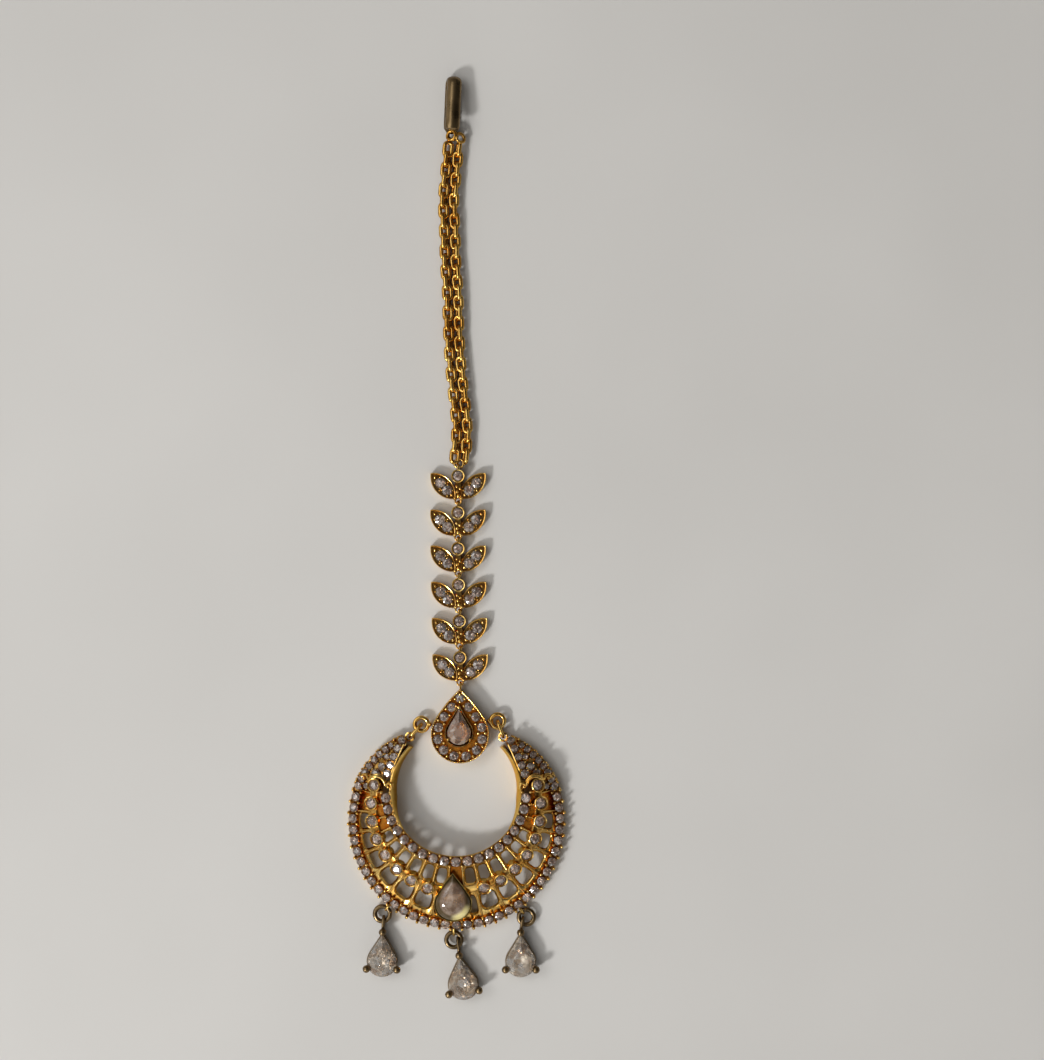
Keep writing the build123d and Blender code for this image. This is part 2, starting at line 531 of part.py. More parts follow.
def make_crescent():
    with BuildPart() as crescent:
        add_rails()
        for side, eye in zip((-1, 1), TIP_EYES):
            add_galleries(side)
            # Paved arm end, stepped up inwards.
            for inset, share, height in TIP_TERRACES:
                with BuildSketch():
                    arm_end_outline(side, inset, share)
                extrude(amount=height)
            # The collar hugs the last round bezel.
            collar_at = polar(RIDGE_CENTRE, RIDGE_RADIUS, side * COLLAR_ANGLE)
            disc(level(collar_at, COLLAR_LOW), COLLAR_RADIUS, COLLAR_TOP - COLLAR_LOW)
        with BuildSketch(Plane.YZ):
            above = 2 * INNER_RAIL_HEIGHT
            Polygon(*TIP_SLOPE, (TIP_SLOPE[1][0], above), (TIP_SLOPE[0][0], above), align=None)
        extrude(amount=OUTER_RADIUS, both=True, mode=Mode.SUBTRACT)
        for side, eye in zip((-1, 1), TIP_EYES):
            eye_low = SIDE_LOOP_HEIGHT - TIP_EYE_THICKNESS / 2
            disc(level(eye, eye_low), TIP_EYE_RADIUS, TIP_EYE_THICKNESS)
            disc(level((side * TIP_NECK[0], TIP_NECK[1]), eye_low), TIP_NECK_RADIUS, TIP_EYE_THICKNESS)
            for number in range(RIDGE_BEZELS):
                foot = ridge_bezel_plane(number, side, RIDGE_BEZEL_LOW)
                disc(foot, RIDGE_BEZEL_RADIUS, RIDGE_BEZEL_TOP - RIDGE_BEZEL_LOW)
        # Deep cup of the large cabochon.
        with BuildSketch(pear_plane(CABOCHON_CENTRE, CABOCHON_CUP_BASE, tilt=CABOCHON_TILT)):
            pear_face(*around(CABOCHON_WIDTH, CABOCHON_TIP, CLEARANCE + CUP_WALL))
        extrude(amount=-CABOCHON_CUP_BASE)
        for drop in DROPS:
            staple_at = polar(OUTER_CENTRE, OUTER_RADIUS + STAPLE_OFFSET, drop["angle"])
            upright_loop(staple_at, STAPLE_RADIUS, STAPLE_WIRE, polar((0, 0), 1, drop["angle"]))
        # Seats of the stones and the holes of the eyes.
        with BuildSketch(pear_plane(CABOCHON_CENTRE, CABOCHON_CUP_FLOOR, tilt=CABOCHON_TILT)):
            pear_face(*around(CABOCHON_WIDTH, CABOCHON_TIP, CLEARANCE))
        extrude(amount=INNER_RAIL_HEIGHT, mode=Mode.SUBTRACT)
        for side, eye in zip((-1, 1), TIP_EYES):
            for number in range(RIDGE_BEZELS):
                seat = ridge_bezel_plane(number, side, RIDGE_BEZEL_SEAT)
                disc(seat, RIDGE_STONE_RADIUS, RIDGE_BEZEL_TOP, Mode.SUBTRACT)
            disc(level(eye, 0), TIP_EYE_HOLE, INNER_RAIL_HEIGHT, Mode.SUBTRACT)
    return crescent


keep(make_crescent(), "crescent_frame")
cabochon_levels = [
    (CABOCHON_CUP_FLOOR + CLEARANCE, 0.80),
    (CABOCHON_GIRDLE, 1.0),
    (CABOCHON_GIRDLE + 0.75 * (CABOCHON_TOP - CABOCHON_GIRDLE), 0.80),
    (CABOCHON_TOP, 0.45),
]
cabochon = pear_stone(
    CABOCHON_CENTRE, CABOCHON_WIDTH, CABOCHON_TIP, cabochon_levels, tilt=CABOCHON_TILT
)
keep(cabochon, "cabochon_stone")


# ---- pear drops ---------------------------------------------------------------------------
def make_drop_setting(drop):
    """A pear rail with three ball-topped claws and the wire bail that it hangs by."""
    centre, lean = drop["round"], drop["lean"]
    point = polar(centre, -(DROP_TIP + DROP_BAIL_OVERLAP), lean)
    bail = upright_link(drop["bail"], point, DROP_BAIL_HEIGHT, DROP_BAIL_WIRE)
    with BuildPart() as setting:
        with BuildSketch(pear_plane(centre, 0, lean)):
            pear_face(DROP_WIDTH * DROP_RAIL_OUTER, DROP_TIP * DROP_RAIL_OUTER)
            pear_face(DROP_WIDTH * DROP_RAIL_INNER, DROP_TIP * DROP_RAIL_INNER, Mode.SUBTRACT)
        extrude(amount=DROP_RAIL_HEIGHT)
        for angle, edge in DROP_PRONGS:
            reach = edge + DROP_PRONG_RADIUS + PRONG_GAP
            claw_at = polar(centre, reach, angle + lean)
            disc(level(claw_at, PRONG_FOOT), DROP_PRONG_RADIUS, DROP_PRONG_TOP - PRONG_FOOT)
            with Locations((*claw_at, DROP_PRONG_TOP)):
                Sphere(DROP_BALL_RADIUS)
            # A short brace holds the claw to the rail.
            outward = (*polar((0, 0), 1, angle + lean), 0)
            inner = (*polar(centre, reach - BRACE_LENGTH, angle + lean), BRACE_HEIGHT)
            with BuildSketch(Plane(origin=inner, x_dir=(-outward[1], outward[0], 0), z_dir=outward)):
                Rectangle(BRACE_WIDTH, BRACE_DEPTH)
            extrude(amount=BRACE_LENGTH)
        add(bail.part)
    return setting


drop_levels = [
    (DROP_BASE, 0.18),
    (DROP_GIRDLE - GIRDLE_DEPTH, 1.0),
    (DROP_GIRDLE, 1.0),
    (DROP_TABLE, 0.60),
]
for number, drop in enumerate(DROPS, start=1):
    ring_at = polar(OUTER_CENTRE, drop["ring"], drop["angle"])
    keep(flat_ring(ring_at, DROP_RING_RADIUS, DROP_RING_WIRE), f"drop_ring_{number}")
    keep(make_drop_setting(drop), f"drop_setting_{number}")
    stone = pear_stone(drop["round"], DROP_WIDTH, DROP_TIP, drop_levels, drop["lean"])
    keep(stone, f"drop_stone_{number}")
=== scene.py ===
# Maang tikka: the looks of the forehead jewel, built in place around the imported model.
# Shapes are worked out in millimetres in the model's frame; a finished piece is in metres.
import math
import random

import bmesh
import bpy
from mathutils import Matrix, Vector


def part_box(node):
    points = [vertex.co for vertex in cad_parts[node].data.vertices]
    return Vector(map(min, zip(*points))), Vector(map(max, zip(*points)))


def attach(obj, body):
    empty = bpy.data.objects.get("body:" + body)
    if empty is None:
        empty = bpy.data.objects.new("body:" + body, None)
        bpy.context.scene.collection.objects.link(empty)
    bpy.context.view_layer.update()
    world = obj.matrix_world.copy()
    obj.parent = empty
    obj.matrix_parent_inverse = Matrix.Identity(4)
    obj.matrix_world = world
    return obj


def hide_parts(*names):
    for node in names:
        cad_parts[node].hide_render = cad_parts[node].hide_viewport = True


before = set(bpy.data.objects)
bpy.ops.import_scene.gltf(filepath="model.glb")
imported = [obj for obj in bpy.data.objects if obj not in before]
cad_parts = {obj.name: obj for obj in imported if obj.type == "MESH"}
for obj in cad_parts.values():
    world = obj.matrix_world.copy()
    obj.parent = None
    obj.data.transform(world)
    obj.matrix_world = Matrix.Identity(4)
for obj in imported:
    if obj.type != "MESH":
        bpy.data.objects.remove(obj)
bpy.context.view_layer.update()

MM = 0.001
UP = Vector((0, 0, 1))
MERGE = 2e-7  # metres; points nearer than this become one
dice = random.Random(11)

# ---- sizes, in millimetres, that the CAD model shares ---------------------------------------
PEAR_SHOULDER = 32.0  # degrees above the round end's centre where a pear's sides begin
CUP_POINT_SHARE = 0.75  # a wall's reach beyond a pear's point, as a share of both side walls
LOOP_HEIGHT = 1.0  # of the middle of every small loop and eye
HOOK_RUN = 7.16  # from the hook's foot to the centre of its bend
STRAND_PITCH = 1.70
STRAND_ROUTE = [
    (-0.50, 64.60), (-0.95, 59.90), (-1.30, 55.60), (-1.12, 50.40), (-1.00, 45.40), (-0.66, 40.90),
    (-0.50, 35.60), (-0.24, 29.60), (0.40, 23.20), (0.88, 18.00), (0.55, 12.60),
]
LEAF_WIDTH, LEAF_BASE, LEAF_TIP = 3.0, (0.42, -3.80), (4.55, 0.50)  # from the round bezel's centre
LINK_TOP_TO_BEZEL = 2.03  # from the top of a link's loop down to its round bezel's centre
LINK_EYE_DROP = 4.10  # from that centre down to the link's eye
HALO_WIDTH, HALO_TIP = 9.6, 7.45
HALO_LEFT_TO_CENTRE = 7.695  # from the node's left edge to the cluster's middle
HALO_STONE_WIDTH, HALO_STONE_TIP = 3.9, 4.05
SIDE_LOOP_RADIUS, SIDE_LOOP_WIRE, SIDE_LOOP_HEIGHT = 1.02, 0.55, 1.15
CRESCENT_TOP_TO_OUTER = 14.75  # from the top of the points' eyes to the outer circle's centre
OUTER_RADIUS, OUTER_SWEEP = 17.95, 110.0
OPENING_RISE, OPENING_RADIUS, OPENING_SWEEP = 5.20, 9.90, 134.0
WALL_LOWEST, WALL_START = 55.0, 82.0  # where the opening's wall has thinned out, and is whole
INNER_RAIL_SWEEP = 88.0  # where the arms take over from the inner rail
RIDGE_RISE, RIDGE_RADIUS = 2.60, 13.55
RIDGE_BEZELS, RIDGE_FIRST, RIDGE_PITCH = 8, 19.4, 12.3  # on each side, in degrees
RIDGE_MIDDLE, RIDGE_TILT = 3.65, 22.0  # a bezel's height and its lean outwards, in degrees
INNER_PITCH = 9.45  # degrees between stones of the inner row
CABOCHON_WIDTH, CABOCHON_TIP, CABOCHON_TILT = 5.50, 4.45, 15.0
DROP_WIDTH, DROP_TIP = 5.0, 4.75
DROP_LEANS = [-1.5, 7.5, 0.0]
DROP_ANGLES = [-38.6, -1.3, 36.0]
BAIL_STARTS = [(0.23, -0.43), (0.64, 0.34), (-0.57, -0.09)]  # from each drop ring's centre
FOUR_CLAWS = (45, 135, 225, 315)  # where the claws round a small stone stand, in degrees


# ---- plain geometry -------------------------------------------------------------------------
def steps(start, end, count):
    """Evenly spaced numbers from start to end, both included."""
    return [start + (end - start) * i / count for i in range(count + 1)]


def unit(radians):
    """A flat vector of length 1, by its angle from +X."""
    return Vector((math.cos(radians), math.sin(radians)))


def polar(centre, radius, degrees_from_down):
    """A point on a circle, by its angle from straight down, positive to the right."""
    a = math.radians(degrees_from_down)
    return Vector((centre[0] + radius * math.sin(a), centre[1] - radius * math.cos(a)))


def heading(degrees_from_down):
    """A flat vector of length 1, by its angle from straight down."""
    return polar((0, 0), 1, degrees_from_down)


def at_height(point, height):
    """A flat point at a height."""
    return Vector((point.x, point.y, height))


def ray_to_circle(start, degrees_from_down, centre, radius):
    """Where a ray from a point, at an angle from straight down, leaves a circle around it."""
    ray = heading(degrees_from_down)
    offset = Vector(start) - Vector(centre)
    along = -offset.dot(ray)
    reach = along + math.sqrt(along**2 - (offset.length_squared - radius**2))
    return Vector(start) + ray * reach


def turned(point, degrees):
    """A flat point turned about the origin."""
    a = math.radians(degrees)
    x, y = point
    return Vector((x * math.cos(a) - y * math.sin(a), x * math.sin(a) + y * math.cos(a)))


def placed(outline, centre, lean=0.0):
    """An outline turned about its origin and moved to a centre."""
    return [turned(p, lean) + Vector(centre[:2]) for p in outline]


def inset(outline, distance):
    """An anticlockwise outline moved inwards by a distance."""
    moved = []
    count = len(outline)
    for i, point in enumerate(outline):
        into = (point - outline[i - 1]).normalized()
        out = (outline[(i + 1) % count] - point).normalized()
        square = Vector((-into.y - out.y, into.x + out.x))
        moved.append(point + square * distance / max(1 + into.dot(out), 0.4))
    return moved


def arc_through(a, b, c, count):
    """Points along the circle through a, b and c, from a to c."""
    a, b, c = Vector(a), Vector(b), Vector(c)
    d = 2 * (a.x * (b.y - c.y) + b.x * (c.y - a.y) + c.x * (a.y - b.y))
    sa, sb, sc = a.length_squared, b.length_squared, c.length_squared
    centre = Vector((sa * (b.y - c.y) + sb * (c.y - a.y) + sc * (a.y - b.y),
                     sa * (c.x - b.x) + sb * (a.x - c.x) + sc * (b.x - a.x))) / d
    first, middle, last = (math.atan2(*(p - centre).yx) for p in (a, b, c))
    sweep = (last - first) % math.tau
    if (middle - first) % math.tau > sweep:
        sweep -= math.tau
    radius = (a - centre).length
    return [centre + radius * unit(t) for t in steps(first, first + sweep, count)]


def circle(radius, count):
    """Points round a circle about the origin."""
    return [Vector((radius * math.cos(t), radius * math.sin(t)))
            for t in steps(0, math.tau, count)[:-1]]


def pear(width, tip, side_count=12, round_count=26):
    """An anticlockwise pear: round end centred on the origin, point at (0, tip)."""
    half = width / 2
    shoulder = math.radians(PEAR_SHOULDER)
    out = unit(shoulder)
    shift = (tip**2 - half**2) / (2 * (tip * out.y - half))
    centre = out * shift
    radius = half - shift
    end = math.atan2((tip - centre.y) / radius, -centre.x / radius)
    right = [centre + radius * unit(t) for t in steps(shoulder, end, side_count)]
    bottom = [half * unit(t) for t in steps(-math.pi - shoulder, shoulder, round_count)]
    left = [Vector((-p.x, p.y)) for p in reversed(right)]
    return left[:-1] + bottom[:-1] + right[:-1]


def around(width, tip, wall):
    """The width and tip of a pear that lies a wall's thickness outside another."""
    return width + 2 * wall, tip + 2 * wall * CUP_POINT_SHARE


def lens(base, tip, width):
    """An anticlockwise pointed leaf between two points, each side an arc."""
    base, tip = Vector(base), Vector(tip)
    middle, along = (base + tip) / 2, (tip - base).normalized()
    across = Vector((-along.y, along.x)) * width / 2
    right = arc_through(base, middle - across, tip, 14)
    left = arc_through(tip, middle + across, base, 14)
    return right[:-1] + left[:-1]


def shifted(outline, height):
    """A flat outline at a height."""
    return [at_height(p, height) for p in outline]


def smooth_line(points, per_run=12):
    """Points along a smooth line through the given ones."""
    ends = [points[0] * 2 - points[1], *points, points[-1] * 2 - points[-2]]
    line = []
    for a, b, c, d in zip(ends, ends[1:], ends[2:], ends[3:]):
        for t in steps(0, 1, per_run)[:-1]:
            line.append(0.5 * (2 * b + (c - a) * t + (2 * a - 5 * b + 4 * c - d) * t**2
                               + (3 * b - a - 3 * c + d) * t**3))
    return [*line, points[-1]]


def along_line(line, pitch, start):
    """Points and headings every pitch along a line, from a first distance on."""
    found, gone, wanted = [], 0.0, start
    for a, b in zip(line, line[1:]):
        run = (b - a).length
        while wanted <= gone + run:
            found.append((a.lerp(b, (wanted - gone) / run), (b - a).normalized()))
            wanted += pitch
        gone += run
    return found


def tilt(direction, degrees):
    """A unit vector that leans from straight up towards a flat direction."""
    a = math.radians(degrees)
    flat = Vector(direction).normalized() * math.sin(a)
    return Vector((flat.x, flat.y, math.cos(a)))


class Shape:
    """Points and faces gathered in millimetres, to become one piece."""

    def __init__(self):
        self.points = []
        self.faces = []
        self.foiled = []  # whether each face is the foiled back of a stone

    def add(self, points, faces, foiled=()):
        """Adds points and faces, whose numbers count from the first of those points."""
        base = len(self.points)
        self.points.extend(Vector(p) for p in points)
        self.faces.extend([base + i for i in face] for face in faces)
        self.foiled.extend(foiled or [False] * len(faces))

    def loft(self, rings, closed=False, caps=True):
        """Joins equal loops of points one after another; closed joins the last to the first."""
        count = len(rings[0])
        faces = []
        for r in range(len(rings) - (not closed)):
            a, b = r * count, (r + 1) % len(rings) * count
            for i in range(count):
                j = (i + 1) % count
                faces.append((a + i, a + j, b + j, b + i))
        if caps and not closed:
            last = (len(rings) - 1) * count
            faces.append(tuple(reversed(range(count))))
            faces.append(tuple(range(last, last + count)))
        self.add([p for ring in rings for p in ring], faces)

    def lathe(self, centre, profile, segments=20, normal=UP):
        """Turns a closed (radius, height) profile about an axis through a centre."""
        lean = UP.rotation_difference(Vector(normal))
        rings = []
        for t in steps(0, math.tau, segments)[:-1]:
            ring = [Vector((r * math.cos(t), r * math.sin(t), z)) for r, z in profile]
            rings.append([Vector(centre) + lean @ p for p in ring])
        self.loft(rings, closed=True)

    def bead(self, centre, radius, segments=10, rings=6):
        """A round bead."""
        profile = [(radius * math.sin(t), -radius * math.cos(t)) for t in steps(0, math.pi, rings)]
        self.lathe(centre, profile, segments)

    def join(self, other, centre, rotation):
        """Adds another shape, turned about its origin and moved to a centre."""
        self.add([Vector(centre) + rotation @ p for p in other.points], other.faces)

    def band(self, centre, profile, start, end, segments):
        """A closed (radius, height) profile swept along an arc, in degrees from straight down."""
        self.loft([[at_height(polar(centre, r, angle), z) for r, z in profile]
                   for angle in steps(start, end, segments)])

    def stack(self, outline, levels, closed=False):
        """A solid through an outline's insets: levels are (inset, height), from the bottom on."""
        self.loft([shifted(inset(outline, depth), z) for depth, z in levels], closed)

    def tube(self, path, radius, closed=False, sides=10):
        """A round wire along a path of points."""
        rings, side, count = [], None, len(path)
        for i, point in enumerate(path):
            before = path[i - 1] if closed or i else path[0]
            after = path[(i + 1) % count] if closed or i < count - 1 else path[-1]
            along = (after - before).normalized()
            side = side or along.orthogonal()
            side = (side - along * side.dot(along)).normalized()
            up = along.cross(side)
            rings.append([point + (side * math.cos(t) + up * math.sin(t)) * radius
                          for t in steps(0, math.tau, sides)[:-1]])
        self.loft(rings, closed=closed)

    def ring(self, centre, radius, wire, normal=UP, segments=28, sides=10):
        """A round wire ring about a centre."""
        lean = UP.rotation_difference(Vector(normal))
        path = [Vector(centre) + lean @ p.to_3d() for p in circle(radius, segments)]
        self.tube(path, wire / 2, closed=True, sides=sides)

    def stadium(self, start, end, wire, width, normal):
        """An oval wire link whose wire's centre runs from start to end, in the plane of normal."""
        start, end = Vector(start), Vector(end)
        along = (end - start).normalized()
        across = Vector(normal).cross(along).normalized()
        bend = (width - wire) / 2
        path = []
        for middle, first in ((end - along * bend, -90), (start + along * bend, 90)):
            for t in steps(math.radians(first), math.radians(first + 180), 8):
                path.append(middle + (along * math.cos(t) + across * math.sin(t)) * bend)
        self.tube(path, wire / 2, closed=True)

    def collet(self, lip_centre, radius, depth, lip, normal):
        """A small round cup below its lip, with a rounded lip and a bowl for a stone's point."""
        profile = [
            (0, -depth),
            (radius * 0.80, -depth),
            (radius, -depth * 0.55),
            (radius, -0.07),
            (radius - lip * 0.30, 0),
            (radius - lip * 0.75, 0),
            (radius - lip, -0.08),
            (radius - lip, -0.18),
            (0, 0.10 - depth),
        ]
        self.lathe(lip_centre, profile, normal=normal)

    def claw(self, foot, height, radius, normal=UP):
        """A pin with a round head, from its foot along an axis."""
        dome = [(radius * math.cos(t), height - radius + radius * math.sin(t))
                for t in steps(0, math.pi / 2, 3)]
        self.lathe(foot, [(0, 0), (radius * 0.8, 0), *dome], 8, normal)

    def cut_stone(self, centre, edge, size, facets=8, crown=0.30, depth=0.86, table=0.57, normal=UP):
        """A faceted stone: edge(turn) is its girdle at a share of a full turn about its centre.
        Heights are shares of size; the rings run from the table down to the point."""
        lean = UP.rotation_difference(Vector(normal))
        middle, low_ring = (1 + table) / 2, 0.23
        half_facet = math.cos(math.pi / facets)

        def ring(scale, height, count, shift=0.0):
            flat = [edge(((k + shift) / count) % 1.0) * scale for k in range(count)]
            return [Vector(centre) + lean @ Vector((p.x, p.y, height * size)) for p in flat]

        rings = [
            ring(table, crown, facets),
            ring(middle, crown * (1 - middle * half_facet) / (1 - table), facets, 0.5),
            ring(1, 0.02, 2 * facets),
            ring(1, -0.03, 2 * facets),
            ring(low_ring, -depth * (1 - low_ring * half_facet), facets, 0.5),
            [Vector(centre) - lean @ UP * depth * size],
        ]
        start = [sum(len(r) for r in rings[:k]) for k in range(len(rings))]
        faces, foiled = [tuple(range(facets))], [False]
        for k in range(facets):
            after, before = (k + 1) % facets, (k - 1) % facets
            t, m, n = start[0], start[1], start[4]
            g = [start[2] + (2 * k + i) % (2 * facets) for i in range(3)]
            low = [i + start[3] - start[2] for i in g]
            faces += [
                (t + k, m + k, t + after),
                (t + k, m + before, g[0], m + k),
                (m + k, g[0], g[1]),
                (m + k, g[1], g[2]),
                (g[0], low[0], low[1], g[1]),
                (g[1], low[1], low[2], g[2]),
                (n + k, low[1], low[0]),
                (n + k, low[2], low[1]),
                (start[5], n + k, low[0], n + before),
            ]
            foiled += [False] * 6 + [True] * 3
        self.add([p for r in rings for p in r], faces, foiled)

    def brilliant(self, centre, radius, normal=UP, sway=0.09, depth=0.86):
        """A round stone, each turned and tilted its own way."""
        spin = dice.random()
        lean = Vector(normal) + Vector((dice.uniform(-sway, sway), dice.uniform(-sway, sway), 0))

        def edge(turn):
            return unit(math.tau * (turn + spin)) * radius

        self.cut_stone(centre, edge, radius, depth=depth, table=0.48, normal=lean.normalized())

    def window_cell(self, surface, margins, depth):
        """A slab over the unit square with a rounded window: surface(u, v) is its upper face.
        margins are the window's (left, right, near, far) borders as shares; None leaves it whole."""
        roundness = 4.0  # 2 makes an oval, and more comes nearer to a rectangle

        def square(t):
            c, s = math.cos(t), math.sin(t)
            reach = max(abs(c), abs(s))
            return 0.5 + 0.5 * c / reach, 0.5 + 0.5 * s / reach

        turns = [math.tau * (i + 0.5) / 32 for i in range(32)]
        rim = [square(t) for t in turns]
        under = UP * depth
        top = [surface(u, v) for u, v in rim]
        if margins is None:
            self.loft([top, [p - under for p in top]])
            return
        left, right, near, far = margins

        def hole(t, grow):
            c, s = math.cos(t), math.sin(t)
            reach = (abs(c) ** roundness + abs(s) ** roundness) ** (-1 / roundness)
            u = (1 + left - right) / 2 + (1 - left - right) / 2 * grow * reach * c
            v = (1 + near - far) / 2 + (1 - near - far) / 2 * grow * reach * s
            return surface(u, v)

        rings = [
            top,
            [hole(t, 1.06) for t in turns],
            [hole(t, 1.0) - UP * 0.08 for t in turns],
            [hole(t, 0.84) - under for t in turns],
            [p - under for p in top],
        ]
        self.loft(rings, closed=True)


# ---- pieces ---------------------------------------------------------------------------------
def make(shape, name, material, nodes=(), sharp=38.0, foil=None):
    """Turns a shape into a piece that rides on the jewel, in place of some CAD nodes.
    Edges bent by more than sharp degrees stay sharp; None is for flat facets."""
    mesh = bpy.data.meshes.new(name)
    mesh.from_pydata([p * MM for p in shape.points], [], shape.faces)
    if foil:
        mesh.materials.append(material)
        mesh.materials.append(foil)
        mesh.polygons.foreach_set("material_index", [int(back) for back in shape.foiled])
    work = bmesh.new()
    work.from_mesh(mesh)
    bmesh.ops.remove_doubles(work, verts=work.verts, dist=MERGE)
    bmesh.ops.recalc_face_normals(work, faces=work.faces)
    work.to_mesh(mesh)
    work.free()
    if sharp is not None:
        mesh.shade_smooth()
        mesh.set_sharp_from_angle(angle=math.radians(sharp))
    if not foil:
        mesh.materials.append(material)
    piece = bpy.data.objects.new(name, mesh)
    bpy.context.scene.collection.objects.link(piece)
    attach(piece, "root")
    if nodes:
        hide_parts(*nodes)


def box_mm(node):
    """A CAD node's lowest and highest corners in millimetres."""
    low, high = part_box(node)
    return low / MM, high / MM


def pear_seat(node, width):
    """Where the centre of a pear's round end is, from the box of its stone."""
    low, high = box_mm(node)
    return Vector(((low.x + high.x) / 2, low.y + width / 2))


def box_centre(node):
    """The middle of a CAD node's box."""
    low, high = box_mm(node)
    return (low + high) / 2


def make_gold(shape, name, nodes=()):
    """A piece in the jewel's plated gold."""
    make(shape, name, GOLD, nodes)


def make_small_stones(shape, name):
    """A piece of small clear stones."""
    make(shape, name, CLEAR, sharp=None, foil=SILVER_FOIL)


# ---- materials ------------------------------------------------------------------------------
COLOUR_FACTOR, COLOUR_A, COLOUR_B, COLOUR_RESULT = 0, 6, 7, 2  # a mix node's sockets for colours


class Nodes:
    """Short ways to make and join a tree's nodes. Where they take a value, an output does as well."""

    def __init__(self, tree, coordinates, length_unit):
        self.tree = tree
        self.unit = length_unit
        self.place = self.node("ShaderNodeTexCoord").outputs[coordinates]

    def feed(self, socket, value):
        """Links a socket to an output, or sets it to a plain value."""
        if isinstance(value, bpy.types.NodeSocket):
            self.tree.links.new(value, socket)
        else:
            socket.default_value = value

    def node(self, kind, inputs=(), **settings):
        """A new node; inputs maps its sockets' names or numbers to values."""
        made = self.tree.nodes.new(kind)
        for name, value in settings.items():
            setattr(made, name, value)
        for socket, value in dict(inputs).items():
            self.feed(made.inputs[socket], value)
        return made

    def noise(self, size, detail=2.0, roughness=0.5):
        """Soft noise whose features are about size units."""
        inputs = {"Vector": self.place, "Scale": 1 / (size * self.unit), "Detail": detail}
        inputs["Roughness"] = roughness
        return self.node("ShaderNodeTexNoise", inputs).outputs["Fac"]

    def cells(self, size):
        """Cells about size units across: a flat random Color each, and a Distance that rises in cones."""
        inputs = {"Vector": self.place, "Scale": 1 / (size * self.unit)}
        return self.node("ShaderNodeTexVoronoi", inputs).outputs

    def parts(self, colour):
        """The Red, Green and Blue of a colour."""
        return self.node("ShaderNodeSeparateColor", {"Color": colour}).outputs

    def ramp(self, factor, stops):
        """Colours by a factor: stops are (position, (red, green, blue))."""
        made = self.node("ShaderNodeValToRGB", {"Fac": factor})
        elements = made.color_ramp.elements
        while len(elements) < len(stops):
            elements.new(0.5)
        for element, (position, colour) in zip(elements, stops):
            element.position = position
            element.color = (*colour, 1)
        return made.outputs["Color"]

    def remap(self, value, start, end, low=0.0, high=1.0, kind="LINEAR"):
        """A number that goes from low to high while another goes from start to end."""
        inputs = {"Value": value, "From Min": start, "From Max": end, "To Min": low, "To Max": high}
        return self.node("ShaderNodeMapRange", inputs, interpolation_type=kind).outputs["Result"]

    def mix(self, factor, a, b, blend="MIX"):
        """Two colours, mixed."""
        a, b = (c if isinstance(c, bpy.types.NodeSocket) else (*c, 1) for c in (a, b))
        inputs = {COLOUR_FACTOR: factor, COLOUR_A: a, COLOUR_B: b}
        made = self.node("ShaderNodeMix", inputs, data_type="RGBA", blend_type=blend)
        return made.outputs[COLOUR_RESULT]

    def calc(self, operation, a, b):
        """Two numbers put together by an operation."""
        return self.node("ShaderNodeMath", {0: a, 1: b}, operation=operation).outputs["Value"]


class Finish(Nodes):
    """A material, its node tree and its shader; sizes are in millimetres."""

    def __init__(self, name):
        self.material = bpy.data.materials.new(name)
        self.material.use_nodes = True
        super().__init__(self.material.node_tree, "Object", MM)
        self.shader = self.tree.nodes["Principled BSDF"]

    def set(self, **values):
        """Sets the shader's inputs, with _ for each space in their names."""
        for name, value in values.items():
            self.feed(self.shader.inputs[name.replace("_", " ")], value)

    def between(self, noise, low, high):
        """A number from low to high that follows noise, which seldom leaves 0.3 to 0.7."""
        return self.remap(noise, 0.3, 0.7, low, high)

    def recess(self, distance, low, high):
        """1 in open places and 0 deep between neighbours, by how enclosed the surface is."""
        made = self.node("ShaderNodeAmbientOcclusion", {"Distance": distance * MM}, samples=8)
        return self.remap(made.outputs["AO"], low, high)

    def bump(self, heights):
        """Stacks bumps given as (height, strength, distance in millimetres)."""
        below = {}
        for height, strength, distance in heights:
            inputs = {"Strength": strength, "Distance": distance * MM, "Height": height, **below}
            below = {"Normal": self.node("ShaderNodeBump", inputs).outputs["Normal"]}
        self.set(**below)


def gold_finish(name, bright, warm, painted_recess_shade, roughness):
    """Plated gold: a warm tone that wanders, painted shade that darkens it in recesses, a soft cast surface.
    """
    finish = Finish(name)
    tone = finish.ramp(finish.noise(2.4, 3), [(0.35, warm), (0.65, bright)])
    finish.bump([(finish.noise(0.8, 2), 0.35, 0.05), (finish.noise(0.16, 2), 0.25, 0.012)])
    finish.set(
        # Base colour: painted shade, a darker orange, where the surface is enclosed.
        Base_Color=finish.mix(finish.recess(1.2, 0.12, 0.85), painted_recess_shade, tone),
        Roughness=finish.between(finish.noise(0.5, 3), *roughness),
        Specular_Tint=(0.92, 0.72, 0.38, 1.0),
        Metallic=1.0,
    )
    return finish.material


def aged_brass_finish():
    """Dark brass: an even olive-brown film over polished metal, darker in recesses."""
    finish = Finish("aged_brass")
    film = finish.ramp(finish.noise(2.6, 1), [(0.35, (0.15, 0.102, 0.050)), (0.65, (0.235, 0.162, 0.080))])
    finish.bump([(finish.noise(2.4, 1), 0.10, 0.03)])
    finish.set(
        Base_Color=finish.mix(finish.recess(0.8, 0.25, 0.95), (0.07, 0.046, 0.030), film),
        Roughness=finish.between(finish.noise(1.8, 1), 0.24, 0.36),
        Metallic=1.0,
    )
    return finish.material


